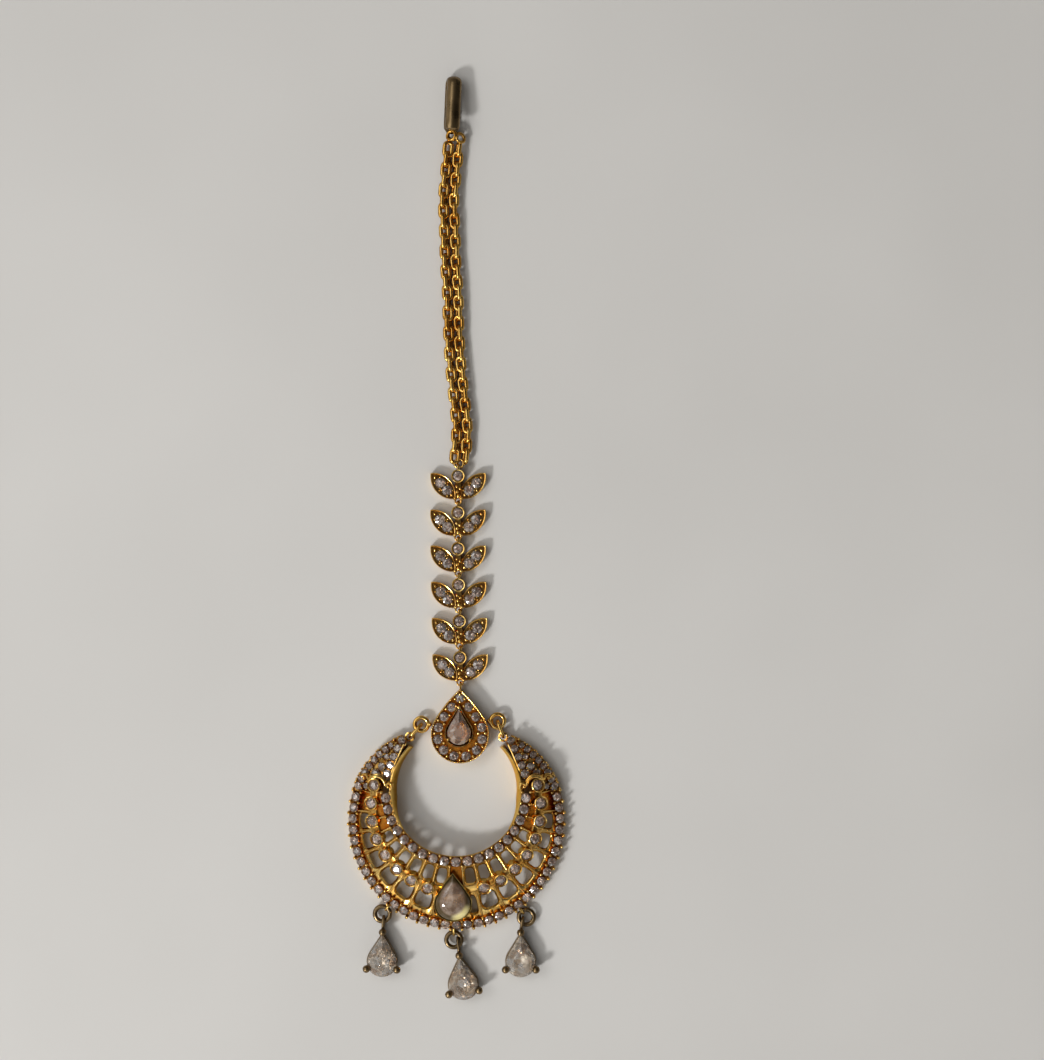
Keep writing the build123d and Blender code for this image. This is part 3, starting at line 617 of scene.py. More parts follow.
def crystal_finish(name, tints_and_glints, ior, roughness, transmission, size, crackle=0.0):
    """Cut stone: its own tint in small flat patches that also paint light and dark facets, with fine polish
    marks.
    """
    finish = Finish(name)
    patch = finish.parts(finish.cells(size)["Color"])
    bumps = [(finish.noise(0.25, 2), 0.08, 0.01)]
    if crackle:
        bumps.append((patch["Blue"], crackle, 0.10))
        bumps.append((finish.noise(size * 0.8, 2), crackle, 0.18))
    finish.bump(bumps)
    finish.set(
        # Base colour: the stone's tint, patch by patch painted darker and paler as facets catch light.
        Base_Color=finish.ramp(patch["Red"], list(zip((0.0, 0.35, 0.7, 1.0), tints_and_glints))),
        Roughness=finish.between(finish.noise(0.3, 2), *roughness),
        IOR=ior,
        Transmission_Weight=transmission,
    )
    return finish.material


def foil_finish(name, pale, dusky, size, crush):
    """The silvered back of a stone: a crushed mirror, pale in some cells and dusky in others, painting bright
    and dark facets.
    """
    finish = Finish(name)
    cells = finish.cells(size)
    patch = finish.parts(cells["Color"])
    finish.bump([(cells["Distance"], crush, size * 0.5)])
    finish.set(
        # Base colour: painted bright and dark facets, cell by cell.
        Base_Color=finish.ramp(patch["Green"], [(0.25, dusky), (0.75, pale)]),
        Roughness=finish.between(patch["Red"], 0.06, 0.34),
        Metallic=1.0,
    )
    return finish.material


def cabochon_finish(centre):
    """Smoky glass dome: cloudy in the middle, painted shadow in dark olive at the rim but for one side with a
    painted glow of focused light.
    """
    finish = Finish("smoky_cabochon")
    calc = finish.calc
    middle = Vector((centre.x, centre.y, 0)) * MM
    offset = finish.node("ShaderNodeVectorMath", {0: finish.place, 1: middle}, operation="SUBTRACT")
    split = finish.node("ShaderNodeSeparateXYZ", {"Vector": offset.outputs["Vector"]})
    x, y = split.outputs["X"], split.outputs["Y"]
    # Distances towards the pear's point count for less, so that the reach follows its outline.
    y_shortened = calc("ADD", calc("MULTIPLY", calc("MAXIMUM", y, 0.0), 0.62), calc("MINIMUM", y, 0.0))
    squares = calc("ADD", calc("MULTIPLY", x, x), calc("MULTIPLY", y_shortened, y_shortened))
    reach = calc("POWER", squares, 0.5)
    # edge is 1 at the rim, where painted shadow and glow take over from the glass.
    edge = finish.remap(reach, 1.55 * MM, 2.35 * MM, kind="SMOOTHSTEP")
    # The painted glow, light focused by the dome onto the cup's wall, is where the direction from the middle
    # is near (0.62, -0.78).
    agreement = calc("SUBTRACT", calc("MULTIPLY", x, 0.62), calc("MULTIPLY", y, 0.78))
    direction = calc("DIVIDE", agreement, calc("MAXIMUM", reach, MM))
    painted_glow = finish.remap(direction, 0.62, 1.06, kind="SMOOTHSTEP")
    clouds = [(0.36, (0.29, 0.18, 0.12)), (0.52, (0.45, 0.31, 0.22)), (0.66, (0.70, 0.55, 0.44))]
    cloudy = finish.ramp(finish.noise(1.7, 3, 0.55), clouds)
    # The rim's painted shadow in dark olive, turning to a painted lemon glow on one side.
    rim = finish.mix(painted_glow, (0.070, 0.046, 0.018), (0.92, 0.80, 0.36))
    finish.bump([(finish.noise(0.9, 2), 0.06, 0.01)])
    finish.set(
        Base_Color=finish.mix(edge, cloudy, rim),
        Transmission_Weight=calc("MULTIPLY", calc("SUBTRACT", 1.0, edge), 0.60),
        Roughness=finish.between(finish.noise(0.6, 3), 0.03, 0.09),
        IOR=1.52,
    )
    return finish.material


def floor_finish():
    """A plain pale surface, faintly uneven in tone."""
    finish = Finish("pale_floor")
    finish.bump([(finish.noise(0.6, 2), 0.05, 0.02)])
    tone = finish.ramp(finish.noise(60, 2), [(0.3, (0.60, 0.585, 0.56)), (0.7, (0.64, 0.625, 0.60))])
    finish.set(Base_Color=tone, Roughness=0.75)
    return finish.material


# Each metal's bright and warm tone, the painted shade of its recesses, and its roughness.
GOLD = gold_finish("gold_plate", (0.78, 0.55, 0.19), (0.64, 0.36, 0.08), (0.40, 0.14, 0.012), (0.13, 0.28))
# A darker, redder gold for the sunk plates: painted shade and warm bounce light of their recesses.
SHADED_RECESS_GOLD = gold_finish("gold_painted_recess_shade", (0.80, 0.36, 0.055), (0.62, 0.21, 0.022), (0.44, 0.10, 0.004),
                          (0.20, 0.42))
CHAIN_GOLD = gold_finish("gold_chain", (0.68, 0.44, 0.12), (0.50, 0.24, 0.04), (0.28, 0.08, 0.006),
                         (0.16, 0.30))
CUP_GOLD = gold_finish("gold_cup", (0.72, 0.56, 0.20), (0.58, 0.42, 0.14), (0.17, 0.10, 0.03), (0.10, 0.20))
BRASS = aged_brass_finish()
# Each stone's tints from its darkest facets to its palest: its own colour, with painted dark and bright
# facets.
PALE_TINTS_AND_GLINTS = ((0.44, 0.29, 0.22), (0.72, 0.55, 0.46), (0.95, 0.83, 0.74), (1.0, 0.96, 0.91))
SMOKY_TINTS_AND_GLINTS = ((0.30, 0.19, 0.14), (0.52, 0.38, 0.30), (0.72, 0.58, 0.48), (0.92, 0.82, 0.74))
MILKY_TINTS_AND_GLINTS = ((0.62, 0.48, 0.36), (0.79, 0.69, 0.57), (0.93, 0.87, 0.78), (1.0, 0.98, 0.94))
CLEAR = crystal_finish("clear_crystal", PALE_TINTS_AND_GLINTS, 2.05, (0.01, 0.05), 0.87, 0.42)
SMOKY = crystal_finish("smoky_crystal", SMOKY_TINTS_AND_GLINTS, 1.80, (0.01, 0.06), 0.62, 0.85)
MILKY = crystal_finish("milky_crystal", MILKY_TINTS_AND_GLINTS, 1.60, (0.01, 0.06), 0.78, 0.90, crackle=0.30)
CABOCHON = cabochon_finish(pear_seat("cabochon_stone", CABOCHON_WIDTH))
# Each foil's pale and dusky tone paints bright and dark facets.
SILVER_FOIL = foil_finish("silver_foil", (1.0, 0.94, 0.90), (0.34, 0.24, 0.19), 0.60, 0.55)
SMOKY_FOIL = foil_finish("smoky_foil", (1.0, 0.92, 0.87), (0.30, 0.19, 0.14), 1.10, 0.35)
MILKY_FOIL = foil_finish("milky_foil", (1.0, 0.95, 0.87), (0.36, 0.25, 0.17), 1.15, 0.60)


# ---- hair hook ------------------------------------------------------------------------------
STRIP_HALF_WIDTH, STRIP_HALF_THICK, STRIP_DOME = 1.20, 0.50, 0.78  # the dome is the outer half
BEND_RADIUS, FREE_LEG, FREE_LEG_RISE = 0.85, 7.45, math.radians(9)
LEGS_ASIDE = 0.36  # how far the two legs lie out of line


def hook_eye():
    """The centre of the eye at the hook's foot."""
    low, _ = box_mm("hair_hook")
    return Vector((-0.62, low.y + 1.0, 1.25))


def hairpin_route():
    """The strip's middle as (distance along the hook, height), from the foot to the free end."""
    route = [Vector((-0.55, 1.25)), Vector((0.1, 0.85)), Vector((0.75, STRIP_HALF_THICK))]
    route += [Vector((a, STRIP_HALF_THICK)) for a in steps(1.4, HOOK_RUN, 8)]
    turn_centre = Vector((HOOK_RUN, STRIP_HALF_THICK + BEND_RADIUS))
    route += [turn_centre + BEND_RADIUS * Vector((math.sin(t), -math.cos(t)))
              for t in steps(0, math.pi - FREE_LEG_RISE, 16)[1:]]
    end = route[-1] + Vector((-math.cos(FREE_LEG_RISE), math.sin(FREE_LEG_RISE))) * FREE_LEG
    route += [route[-1].lerp(end, t) for t in steps(0, 1, 8)[1:]]
    return route + [end + Vector((-0.30, 0.06)), end + Vector((-0.42, 0.04))]


def add_hairpin(shape, foot, bend):
    """A half-round strip bent double in an upright plane, its free leg rising to its end."""
    along = (bend - foot).normalized()
    across = Vector((along.y, -along.x, 0))
    route = hairpin_route()
    section = [(STRIP_HALF_WIDTH * math.cos(t), math.sin(t)) for t in steps(0, math.tau, 28)[:-1]]
    last = len(route) - 1
    free_height = 2 * BEND_RADIUS
    rings = []
    for i, point in enumerate(route):
        raised = min(max(point.y - STRIP_HALF_THICK, 0), free_height) / free_height
        aside = LEGS_ASIDE * (raised - 1)
        outside = STRIP_HALF_THICK + (STRIP_DOME - STRIP_HALF_THICK) * raised
        onward = (route[min(i + 1, last)] - route[max(i - 1, 0)]).normalized()
        up = Vector((-onward.y, onward.x))
        taper = {0: 0.7, last - 1: 0.88, last: 0.55}.get(i, 1.0)
        ring = []
        for w, h in section:
            thick = up * h * taper * (outside if h < 0 else STRIP_HALF_THICK)
            spot = foot + along * (point.x + thick.x) + UP * (point.y + thick.y)
            ring.append(spot + across * (w * taper + aside))
        rings.append(ring)
    shape.loft(rings)


def make_hair_hook():
    """The bent strip and the flat eye at its foot."""
    eye = hook_eye()
    foot = Vector((-0.60, eye.y + 1.05, 0))
    shape = Shape()
    add_hairpin(shape, foot, foot + Vector((0.30, HOOK_RUN, 0)))
    shape.lathe(eye, [(0.5, -0.25), (0.9, -0.3), (1.0, -0.2), (1.0, 0.2), (0.9, 0.3), (0.5, 0.25)], 24)
    make(shape, "hair_hook_strip", BRASS, ["hair_hook"])


def make_hook_ring():
    """The two coils of wire that tie the chain to the hook's eye."""
    eye = hook_eye()
    shape = Shape()
    for shift, lean, turn in (((-0.22, -0.10, 0.52), 30, 250), ((1.26, -0.50, 0.42), 38, 110)):
        shape.ring(eye + Vector(shift), 0.76, 0.52, tilt(heading(turn), lean))
    make(shape, "hook_ring_coils", CHAIN_GOLD, ["hook_ring"])


# ---- chain ----------------------------------------------------------------------------------
LINK_LENGTH, LINK_WIDTH, LINK_WIRE, LINK_PITCH = 3.00, 1.92, 0.72, 1.69
STRAND_HEIGHT = 0.97
LYING_ROLL, STANDING_ROLL, ROLL_SPREAD = 12, 70, 9  # degrees from lying flat


def make_chain():
    """Two strands of oval cable chain, the links by turns lying and standing."""
    for side, name in ((-1, "chain_left_strand"), (1, "chain_right_strand")):
        points = [Vector((x + side * STRAND_PITCH / 2, y, STRAND_HEIGHT)) for x, y in STRAND_ROUTE]
        shape = Shape()
        for i, (middle, along) in enumerate(along_line(smooth_line(points), LINK_PITCH, 0.5)):
            lying = (i + (side > 0)) % 2 == 0
            roll = (LYING_ROLL if lying else STANDING_ROLL) * side + dice.uniform(-ROLL_SPREAD, ROLL_SPREAD)
            across = Vector((along.y, -along.x, 0))
            normal = UP * math.cos(math.radians(roll)) + across * math.sin(math.radians(roll))
            reach = along * (LINK_LENGTH - LINK_WIRE) / 2
            middle = middle + UP * (0.02 if lying else 0.0)
            shape.stadium(middle - reach, middle + reach, LINK_WIRE, LINK_WIDTH, normal)
        make(shape, name + "_links", CHAIN_GOLD, [name])


# ---- leaf links -----------------------------------------------------------------------------
# Levels are (inset, height), profiles are (radius, height) and beads are (x, y, radius).
LEAF_WALL = [(0.18, 0), (0.06, 0.12), (0.0, 1.26), (0.04, 1.46), (0.11, 1.55), (0.18, 1.52), (0.23, 1.36),
             (0.27, 1.16)]
LEAF_FLOOR = [(0.26, 1.06), (0.26, 1.20)]
LEAF_BEADS = ((4.92, 0, 0.30), (0.95, 0, 0.34), (2.84, 0.98, 0.20), (2.84, -0.98, 0.20))  # x along the leaf
LEAF_SEATS, LEAF_STONE_RADIUS, LEAF_STONE_HEIGHT = (1.98, 3.66), 0.85, 1.56  # seats: from the leaf's foot
LEAF_BEZEL = [(0, 0.2), (0.92, 0.2), (1.10, 0.9), (1.14, 1.86), (1.10, 2.01), (1.01, 2.07), (0.90, 2.04),
              (0.76, 1.84), (0.30, 1.15), (0, 1.1)]
STEM_OUTLINE = ((-0.5, -3.6), (0.5, -3.6), (0.62, -2.0), (0.45, 0), (-0.45, 0), (-0.62, -2.0))
STEM_LEVELS = [(0.08, 0.3), (0, 0.4), (0, 1.05), (0.12, 1.18)]
STEM_BEADS = ((-0.26, -1.75, 0.26), (0.30, -2.10, 0.28), (-0.14, -2.62, 0.33), (0.06, -3.32, 0.42),
              (-0.52, -3.70, 0.34), (0.52, -3.70, 0.34))
LINK_EYE = [(0.36, -0.15), (0.50, -0.2), (0.64, -0.12), (0.64, 0.12), (0.50, 0.2), (0.36, 0.15)]


def add_leaf(gold, stones, floor, centre, side):
    """A walled leaf with two stones between claws, and beads in what is left of its floor."""
    base = centre + Vector((side * LEAF_BASE[0], LEAF_BASE[1]))
    tip = centre + Vector((side * LEAF_TIP[0], LEAF_TIP[1]))
    outline = lens(base, tip, LEAF_WIDTH)
    gold.stack(outline, LEAF_WALL)
    floor.stack(outline, LEAF_FLOOR)
    along = (tip - base).normalized()
    across = Vector((-along.y, along.x))
    for reach in LEAF_SEATS:
        seat = base + along * reach
        stones.brilliant((*seat, LEAF_STONE_HEIGHT), LEAF_STONE_RADIUS, sway=0.18, depth=0.36)
        for turn in FOUR_CLAWS:
            gold.claw((*(seat + turned(along, turn) * 0.89), 1.1), 0.66, 0.17)
    for x, y, radius in LEAF_BEADS:
        gold.bead((*(base + along * x + across * y), 1.30), radius)


def make_leaf_links():
    """Six links: two leaves, a round bezel over a stem with beads, an eye below and a loop above."""
    for number in range(1, 7):
        node = f"leaf_link_{number}"
        low, high = box_mm(node)
        centre = Vector(((low.x + high.x) / 2, high.y - LINK_TOP_TO_BEZEL))
        gold, stones, floor = Shape(), Shape(), Shape()
        for side in (-1, 1):
            add_leaf(gold, stones, floor, centre, side)
        gold.lathe((*centre, 0), LEAF_BEZEL, 32)
        stones.brilliant((*centre, 1.93), 0.78)
        gold.stack([centre + Vector(p) for p in STEM_OUTLINE], STEM_LEVELS)
        for x, y, radius in STEM_BEADS:
            gold.bead((centre.x + x, centre.y + y, 1.38), radius, 12, 7)
        gold.lathe((centre.x, centre.y - LINK_EYE_DROP, LOOP_HEIGHT), LINK_EYE)
        gold.ring((centre.x, centre.y + 1.25, LOOP_HEIGHT), 0.58, 0.48, (1, 0, 0), 20, 8)
        make_gold(floor, node + "_recess")
        make_gold(gold, node + "_gold", [node])
        make_small_stones(stones, node + "_stones")


# ---- teardrop cluster -----------------------------------------------------------------------
def even_points(outline, count, first=0.0):
    """Points at equal distances along a closed outline."""
    loop = [*outline, outline[0]]
    length = sum((b - a).length for a, b in zip(loop, loop[1:]))
    found = along_line(loop, length / count, length / count * first)
    return [point for point, _ in found[:count]]


HALO_WALL = [(0.30, 0), (0.10, 0.15), (0.0, 1.9), (0.03, 2.32), (0.11, 2.42), (0.20, 2.38), (0.26, 2.2),
             (0.30, 1.80)]
HALO_FLOOR = [(0.28, 1.70), (0.28, 1.84)]
HALO_CUP = [(-0.25, 0.8), (-0.04, 2.0), (0.0, 2.66), (0.06, 2.80), (0.15, 2.80), (0.22, 2.70), (0.42, 2.2),
            (0.75, 1.0)]
HALO_CUP_WALL = 0.46
HALO_CLAWS = ((0.60, 0.31), (-0.58, 0.30))  # (distance outwards from between two stones, thickness)
CUP_CLAW_FOOT = 2.1  # the height where the claws round the pear begin
HALO_STONES, HALO_STONE_RADIUS, HALO_STONE_HEIGHT = 14, 0.76, 2.26
HALO_MILLING, MILLING_RADIUS, MILLING_HEIGHT = 84, 0.15, 2.40  # the beads along the rim
SIDE_LOOP_INSET = 1.295  # from the node's edges to its side loops' centres
LEFT_LOOP_Y, RIGHT_LOOP_Y = -30.75, -30.20


def make_halo():
    """The teardrop cluster: a milled rim, a ring of small stones in claws, and a cup with a pear."""
    low, high = box_mm("halo_setting")
    centre = Vector((low.x + HALO_LEFT_TO_CENTRE, low.y + HALO_WIDTH / 2))
    stone_at = pear_seat("halo_stone", HALO_STONE_WIDTH)
    gold, stones, floor = Shape(), Shape(), Shape()
    outline = placed(pear(HALO_WIDTH, HALO_TIP), centre)
    floor.stack(outline, HALO_FLOOR)
    # The halo's floor is in gold painted with the shade of its recess.
    make(floor, "halo_recess", SHADED_RECESS_GOLD)
    gold.stack(outline, HALO_WALL)
    for spot in even_points(inset(outline, 0.13), HALO_MILLING):
        gold.bead((*spot, MILLING_HEIGHT), MILLING_RADIUS, 8, 5)
    seats = even_points(inset(outline, 1.06), HALO_STONES, 0.5)
    for i, seat in enumerate(seats):
        stones.brilliant((*seat, HALO_STONE_HEIGHT), HALO_STONE_RADIUS, depth=0.50)
        between = (seat + seats[(i + 1) % len(seats)]) / 2
        outward = (between - centre).normalized()
        for out, radius in HALO_CLAWS:
            gold.claw((*(between + outward * out), 1.75), 0.82, radius)
    cup = placed(pear(*around(HALO_STONE_WIDTH, HALO_STONE_TIP, HALO_CUP_WALL)), stone_at)
    gold.stack(cup, HALO_CUP)
    gold.claw((*(stone_at + Vector((0, HALO_STONE_TIP + 0.20))), CUP_CLAW_FOOT), 1.05, 0.30)
    for turn in (60, -60):
        gold.claw((*polar(stone_at, HALO_STONE_WIDTH / 2 + 0.14, turn), CUP_CLAW_FOOT), 1.0, 0.27)
    left_x, right_x = low.x + SIDE_LOOP_INSET, high.x - SIDE_LOOP_INSET
    for x, y, inward in ((left_x, LEFT_LOOP_Y, 1), (right_x, RIGHT_LOOP_Y, -1)):
        gold.ring((x, y, SIDE_LOOP_HEIGHT), SIDE_LOOP_RADIUS + 0.08, SIDE_LOOP_WIRE + 0.17)
        gold.bead((x + inward * 1.35, y, SIDE_LOOP_HEIGHT), 0.42)
    gold.ring((0.66, high.y - 0.78, LOOP_HEIGHT), 0.60, 0.36, (1, 0, 0), 20, 8)
    make_gold(gold, "halo_gold", ["halo_setting"])
    make_small_stones(stones, "halo_small_stones")
    stone = Shape()
    add_pear_stone(stone, (*stone_at, 2.62), HALO_STONE_WIDTH, HALO_STONE_TIP, 0, crown=0.45, depth=0.75)
    make(stone, "halo_centre_stone", SMOKY, ["halo_stone"], None, SMOKY_FOIL)


def add_pear_stone(shape, centre, width, tip, lean, crown, depth, facets=9):
    """A faceted pear on its own girdle outline."""
    loop = even_points(pear(width, tip), 4 * facets)

    def edge(turn):
        return turned(loop[round(turn * len(loop)) % len(loop)], lean)

    shape.cut_stone(centre, edge, width / 2, facets, crown, depth, table=0.50)


# ---- crescent -------------------------------------------------------------------------------
crescent_high = box_mm("crescent_frame")[1]
# The centres of its three circles.
OUTER = Vector((0, crescent_high.y - CRESCENT_TOP_TO_OUTER))
OPENING = OUTER + Vector((0, OPENING_RISE))
RIDGE = OUTER + Vector((0, RIDGE_RISE))
RIDGE_END = RIDGE_FIRST + (RIDGE_BEZELS - 1) * RIDGE_PITCH
ARM_START = 106.0  # the angle, about the outer or the opening's centre, where an arm begins
# Sections of the rails as (radius, height); the ridge's height counts from its own slope.
OUTER_RAIL = [(16.50, 0), (17.70, 0), (17.80, 0.7), (17.70, 0.98), (16.60, 0.98)]
INNER_RAIL = [(10.70, 3.50), (12.20, 3.50), (12.32, 3.6), (12.32, 4.05), (12.24, 4.10), (12.16, 3.74),
              (10.86, 3.74), (10.80, 4.22), (10.70, 4.30), (10.61, 4.20), (10.60, 3.62)]
RIDGE_BAR = ((12.98, -0.40), (14.12, -0.40), (14.20, 0.10), (14.00, 0.32), (13.12, 0.32), (12.92, 0.10))
BEZEL = [(0, -0.70), (0.98, -0.70), (1.12, -0.2), (1.18, 0.95), (1.16, 1.16), (1.08, 1.23), (0.97, 1.18),
         (0.88, 0.98), (0.35, 0.10), (0, 0.05)]
# A gallery window's borders towards its first and its next edge, the head and the foot of the slope.
INNER_MARGINS, OUTER_MARGINS, FIRST_MARGINS = (
    (0.11, 0.11, 0.11, 0.06), (0.075, 0.075, 0.11, 0.25), (0.50, 0.08, 0.12, 0.20))
CELL_THICKNESS, CELL_SINK, RIB_RADIUS, OPEN_CELLS = 0.60, 0.50, 0.17, 6
INNER_SLOPE_START, OUTER_SLOPE_END, RIDGE_HALF_WIDTH = 12.15, 16.65, 0.45
WALL_FOOT, WALL_TOP, WALL_SINK = 3.45, 4.38, 1.15  # its lower edge where thin, its top, the top's fall
WALL_SLOPE = 0.177  # how far the wall leans outwards in each millimetre of height
ARM_EDGE_HEIGHT, ARM_CREST = 1.75, 3.95
ARM_INNER_RADIUS = 10.75
# A row of paved stones along an arm's edge: its distance from the edge, its pitch and the stones' radius.
INNER_EDGE_ROW, OUTER_EDGE_ROW = (0.92, 1.44, 0.70), (0.60, 1.26, 0.62)
PAVE_RADII = (0.70, 0.62, 0.50)  # of the stones between those rows, the largest first


def ridge_seats(side):
    """The middles and axes of one side's round bezels, which lean outwards."""
    seats = []
    for i in range(RIDGE_BEZELS):
        angle = side * (RIDGE_FIRST + i * RIDGE_PITCH)
        middle = at_height(polar(RIDGE, RIDGE_RADIUS, angle), RIDGE_MIDDLE)
        seats.append((middle, tilt(heading(angle), RIDGE_TILT)))
    return seats


def opening_wall(angle):
    """A cross-section of the opening's wall, which thins out below the arms and sinks at their points."""
    turn = abs(angle)
    low = WALL_FOOT * (1 - min(1, (turn - WALL_LOWEST) / (WALL_START - WALL_LOWEST)) ** 1.5)
    top = WALL_TOP - WALL_SINK * max(0, (turn - ARM_START) / (OPENING_SWEEP - ARM_START))

    def face(z):
        return OPENING_RADIUS + WALL_SLOPE * z

    section = ((face(low), low), (face(low) + 0.45, low), (face(top) + 0.42, top - 0.6),
               (face(top) + 0.22, top - 0.04), (face(top) + 0.03, top), (face(top) - 0.07, top - 0.12))
    return [at_height(polar(OPENING, r, angle), z) for r, z in section]


def make_rails():
    """The outer rail, the high inner rail and its walls beside the arms, the ridge and staples."""
    gold = Shape()
    gold.band(OUTER, OUTER_RAIL, -OUTER_SWEEP, OUTER_SWEEP, 110)
    gold.band(OPENING, INNER_RAIL, -INNER_RAIL_SWEEP, INNER_RAIL_SWEEP, 90)
    for side in (-1, 1):
        gold.loft([opening_wall(side * angle) for angle in steps(WALL_LOWEST, OPENING_SWEEP, 60)])
    slope = math.tan(math.radians(RIDGE_TILT))
    ridge = [(r, RIDGE_MIDDLE + (RIDGE_RADIUS - r) * slope + z) for r, z in RIDGE_BAR]
    gold.band(RIDGE, ridge, -RIDGE_END, RIDGE_END, 96)
    for angle in DROP_ANGLES:
        middle = at_height(polar(OUTER, OUTER_RADIUS + 0.10, angle), LOOP_HEIGHT)
        outward = heading(angle)
        gold.ring(middle, 0.72, 0.44, (outward.y, -outward.x, 0), 20, 8)
    make_gold(gold, "crescent_rails", ["crescent_frame"])


def inner_surface(angle, v, lift=0.0):
    """The slope from the inner rail to the ridge, by angle about the opening and share."""
    foot = polar(OPENING, INNER_SLOPE_START, angle)
    head = ray_to_circle(OPENING, angle, RIDGE, RIDGE_RADIUS - RIDGE_HALF_WIDTH)
    return at_height(foot.lerp(head, v), 4.12 - 0.04 * v + lift)


def outer_surface(angle, v, lift=0.0):
    """The slope from the ridge down to the outer rail, by angle about the ridge's centre."""
    head = polar(RIDGE, RIDGE_RADIUS + RIDGE_HALF_WIDTH, angle)
    foot = ray_to_circle(RIDGE, angle, OUTER, OUTER_SLOPE_END)
    return at_height(head.lerp(foot, v), 3.55 - 2.05 * v - 0.30 * v * v + lift)


def add_cells(gold, recess, surface, edges, open_cells, margins):
    """Cells side by side, pierced or sunk, with a rib along each edge between them."""
    for k, (first, last) in enumerate(zip(edges, edges[1:])):
        def cell(u, v):
            return surface(first + u * (last - first), v)

        def sunk(u, v):
            return cell(u, v) - UP * CELL_SINK

        if k in open_cells:
            gold.window_cell(cell, margins, CELL_THICKNESS)
        else:
            recess.window_cell(sunk, None, CELL_THICKNESS)
    for angle in edges:
        gold.tube([surface(angle, v, 0.06) for v in steps(0, 1, 5)], RIB_RADIUS)


def make_galleries():
    """The pierced slopes between the rails and the ridge, with a rib along each bar."""
    gold, recess = Shape(), Shape()
    for side in (-1, 1):
        inner_edges = [side * INNER_PITCH * (k + 0.5) for k in range(10)]
        add_cells(gold, recess, inner_surface, inner_edges, range(OPEN_CELLS), INNER_MARGINS)
        outer_edges = [side * (RIDGE_FIRST + (k - 0.5) * RIDGE_PITCH) for k in range(RIDGE_BEZELS + 1)]
        add_cells(gold, recess, outer_surface, outer_edges, range(OPEN_CELLS), OUTER_MARGINS)
        add_cells(gold, recess, outer_surface, [0, outer_edges[0]], (0,), FIRST_MARGINS)
    add_cells(gold, recess, inner_surface, [-INNER_PITCH / 2, INNER_PITCH / 2], (), None)
    make_gold(gold, "crescent_galleries")
    # The sunk cells are in gold painted with the shade of their recesses.
    make(recess, "crescent_recesses", SHADED_RECESS_GOLD)


def add_claw_row(gold, stones, centre, radius, height, lean, angles, stone_radius, claws):
    """A row of stones along an arc, each between two sets of claws: (radius, foot, height, thickness)."""
    half = (angles[1] - angles[0]) / 2
    for i, angle in enumerate(angles):
        normal = tilt(heading(angle), lean)
        seat = at_height(polar(centre, radius, angle), height)
        gold.collet(seat - normal * 0.04, stone_radius * 0.98, 0.75, 0.11, normal)
        stones.brilliant(seat, stone_radius, normal)
        for turn in ((angle - half, angle + half) if i == 0 else (angle + half,)):
            for claw_radius, foot, reach, thick in claws:
                gold.claw((*polar(centre, claw_radius, turn), foot), reach, thick)


def make_rows():
    """The claw-set rows on the outer and the inner rail."""
    gold, stones = Shape(), Shape()
    outer_angles = steps(-OUTER_SWEEP, OUTER_SWEEP, 36)
    inner_angles = [i * INNER_PITCH for i in range(-9, 10)]
    outer_claws = ((17.82, 0.7, 1.30, 0.27), (16.42, 0.9, 1.35, 0.25))
    inner_claws = ((10.80, 3.7, 1.08, 0.26), (12.20, 3.7, 1.10, 0.27))
    add_claw_row(gold, stones, OUTER, 17.10, 1.72, 14, outer_angles, 0.74, outer_claws)
    add_claw_row(gold, stones, OPENING, 11.48, 4.52, -10, inner_angles, 0.78, inner_claws)
    make_gold(gold, "crescent_claw_rows")
    make_small_stones(stones, "crescent_row_stones")


def make_ridge_bezels():
    """The round bezels along the ridge, each leaning outwards."""
    gold, stones = Shape(), Shape()
    for side in (-1, 1):
        for middle, axis in ridge_seats(side):
            gold.lathe(middle, BEZEL, 36, axis)
            stones.brilliant(middle + axis * 0.96, 0.84, axis)
    make_gold(gold, "crescent_ridge_bezels")
    make_small_stones(stones, "crescent_ridge_stones")


def arm_edges(side):
    """The outer and the inner edge of a paved arm end, from the collar up to its point."""
    mirror = Vector((side, 1))
    start = polar(OUTER, OUTER_RADIUS - 0.1, ARM_START)
    inner_middle, inner_end = (polar(OPENING, ARM_INNER_RADIUS, angle) for angle in (121.0, 104.0))
    bulge, corner, blunt = (OUTER + Vector(p) for p in ((13.75, 10.85), (9.05, 14.15), (8.15, 12.95)))
    outer = [p * mirror for p in arc_through(start, bulge, corner, 18)]
    inner = [p * mirror for p in arc_through(inner_end, inner_middle, blunt, 18)]
    return outer, inner


def edge_distance(point, line):
    """How far a point lies from a line of points."""
    nearest = 1e9
    for a, b in zip(line, line[1:]):
        run = b - a
        t = max(0.0, min(1.0, (point - a).dot(run) / run.length_squared))
        nearest = min(nearest, (point - (a + run * t)).length)
    return nearest


def arm_height(point, outer, inner):
    """The height of an arm's paved slope, which rises inwards and comes down to the point."""
    out, into = edge_distance(point, outer), edge_distance(point, inner)
    share = out / (out + into)
    crest = min(ARM_CREST, 4.30 - 0.279 * (point.y - OUTER.y - 8.70))
    return ARM_EDGE_HEIGHT + (crest - ARM_EDGE_HEIGHT) * math.sin(share * math.pi / 2)


